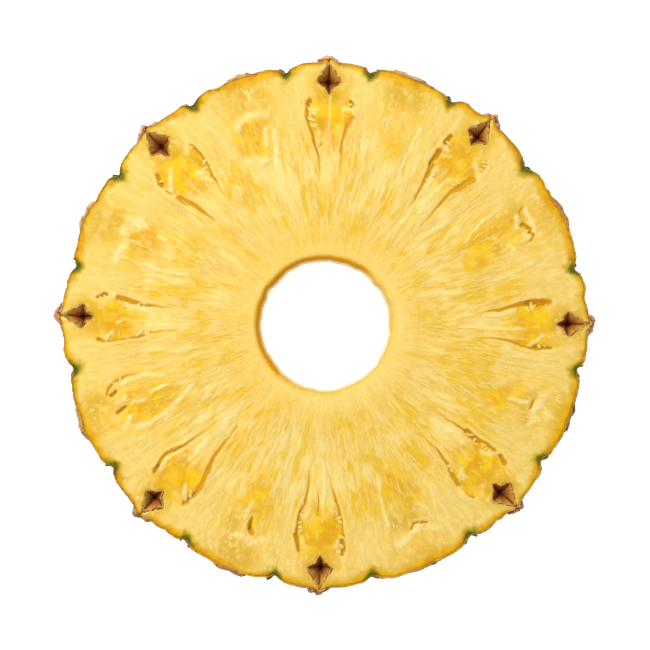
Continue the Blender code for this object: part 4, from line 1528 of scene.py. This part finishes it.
def floor_material():
    """A pale floor that glows enough to come out white."""
    material, nodes, shader = new_material(
        "studio_floor", Roughness=0.8, Specular_IOR_Level=0.1,
        Emission_Color=(1.0, 1.0, 1.0, 1.0), Emission_Strength=0.76)
    patches = use_group(nodes, MOTTLING, Place=nodes.place(), Size=6.0)
    nodes.link(nodes.mix(patches["Patch"], (0.83, 0.83, 0.83, 1.0), (0.85, 0.85, 0.85, 1.0)),
               shader.inputs["Base Color"])
    return material


# --------------------------------------------------------------------------- building the slice

FLESH = flesh_material("raw_flesh", 0.65)
FIBRE = flesh_material("raw_fibre", 0.0)
EYE_SKIN = eye_material()
RIND = rind_material()
BRACT = scale_material("dry_bract", linear(128, 70, 32), linear(240, 186, 134))
GREEN_SCALE = scale_material("green_scale", linear(92, 98, 24), linear(150, 122, 66))


def finish(piece, material):
    """Gives a piece its material, its body and its slot, and lets it replace the solid."""
    piece.data.materials.append(material)
    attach(piece, BODY)
    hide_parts(CAD_NODE)


for face, top in (("upper", True), ("lower", False)):
    half, relief = half_of_flesh(f"flesh_{face}", top)
    finish(half, FLESH)
    finish(stray_fibres(f"fibres_{face}", relief, top), FIBRE)
    finish(ovules(f"ovules_{face}", relief, top), FIBRE)
finish(rind_ring(), RIND)
finish(dry_scales("bracts", bract_marks(), 101), BRACT)
finish(dry_scales("eye_flakes", flake_marks(), 111), BRACT)
finish(dry_scales("border_points", border_marks(), 121), GREEN_SCALE)
for number in range(FRUITLETS):
    finish(eye_lining(number, number % 2 == 0), EYE_SKIN)


# ------------------------------------------------------------------------------------ the studio

CAMERA_RISE = 330 * MM
VIEW_WIDTH = 148.2 * MM
SENSOR = 36.0
FLOOR_HALF_WIDTH = 1.5
FLOOR_DROP = 0.04 * MM
WORLD_STRENGTH = 0.645


def studio_floor():
    """A flat square under the slice."""
    corners = [(-1, -1, 0), (1, -1, 0), (1, 1, 0), (-1, 1, 0)]
    points = np.array(corners) * FLOOR_HALF_WIDTH + [0.0, 0.0, lowest.z - FLOOR_DROP]
    made = mesh_object("studio_floor", points, np.array([[0, 1, 2, 3]]))
    made.data.materials.append(floor_material())


def studio_light(name, place, size, power):
    """A square soft light that faces the middle of the slice."""
    light = bpy.data.lights.new(name, "AREA")
    light.shape = "SQUARE"
    light.size = size
    light.energy = power
    lamp = bpy.data.objects.new(name, light)
    lamp.location = place
    lamp.rotation_euler = (-Vector(place)).to_track_quat("-Z", "Y").to_euler()
    bpy.context.scene.collection.objects.link(lamp)


def studio_camera():
    """Straight above the slice, as high as the view needs: focal length = sensor * rise / width."""
    data = bpy.data.cameras.new("camera")
    data.sensor_width = SENSOR
    data.lens = SENSOR * CAMERA_RISE / VIEW_WIDTH
    data.clip_start = 0.01
    camera = bpy.data.objects.new("camera", data)
    camera.location = (0.0, 0.0, highest.z + CAMERA_RISE)
    bpy.context.scene.collection.objects.link(camera)
    bpy.context.scene.camera = camera


def studio_world():
    """An even white surround."""
    world = bpy.data.worlds.new("studio")
    world.use_nodes = True
    background = world.node_tree.nodes["Background"]
    background.inputs["Color"].default_value = (1.0, 1.0, 1.0, 1.0)
    background.inputs["Strength"].default_value = WORLD_STRENGTH
    bpy.context.scene.world = world


studio_floor()
studio_camera()
studio_world()
studio_light("key", (-0.34, 0.34, 0.42), 0.20, 2.9)
bpy.context.scene.view_settings.view_transform = "Standard"
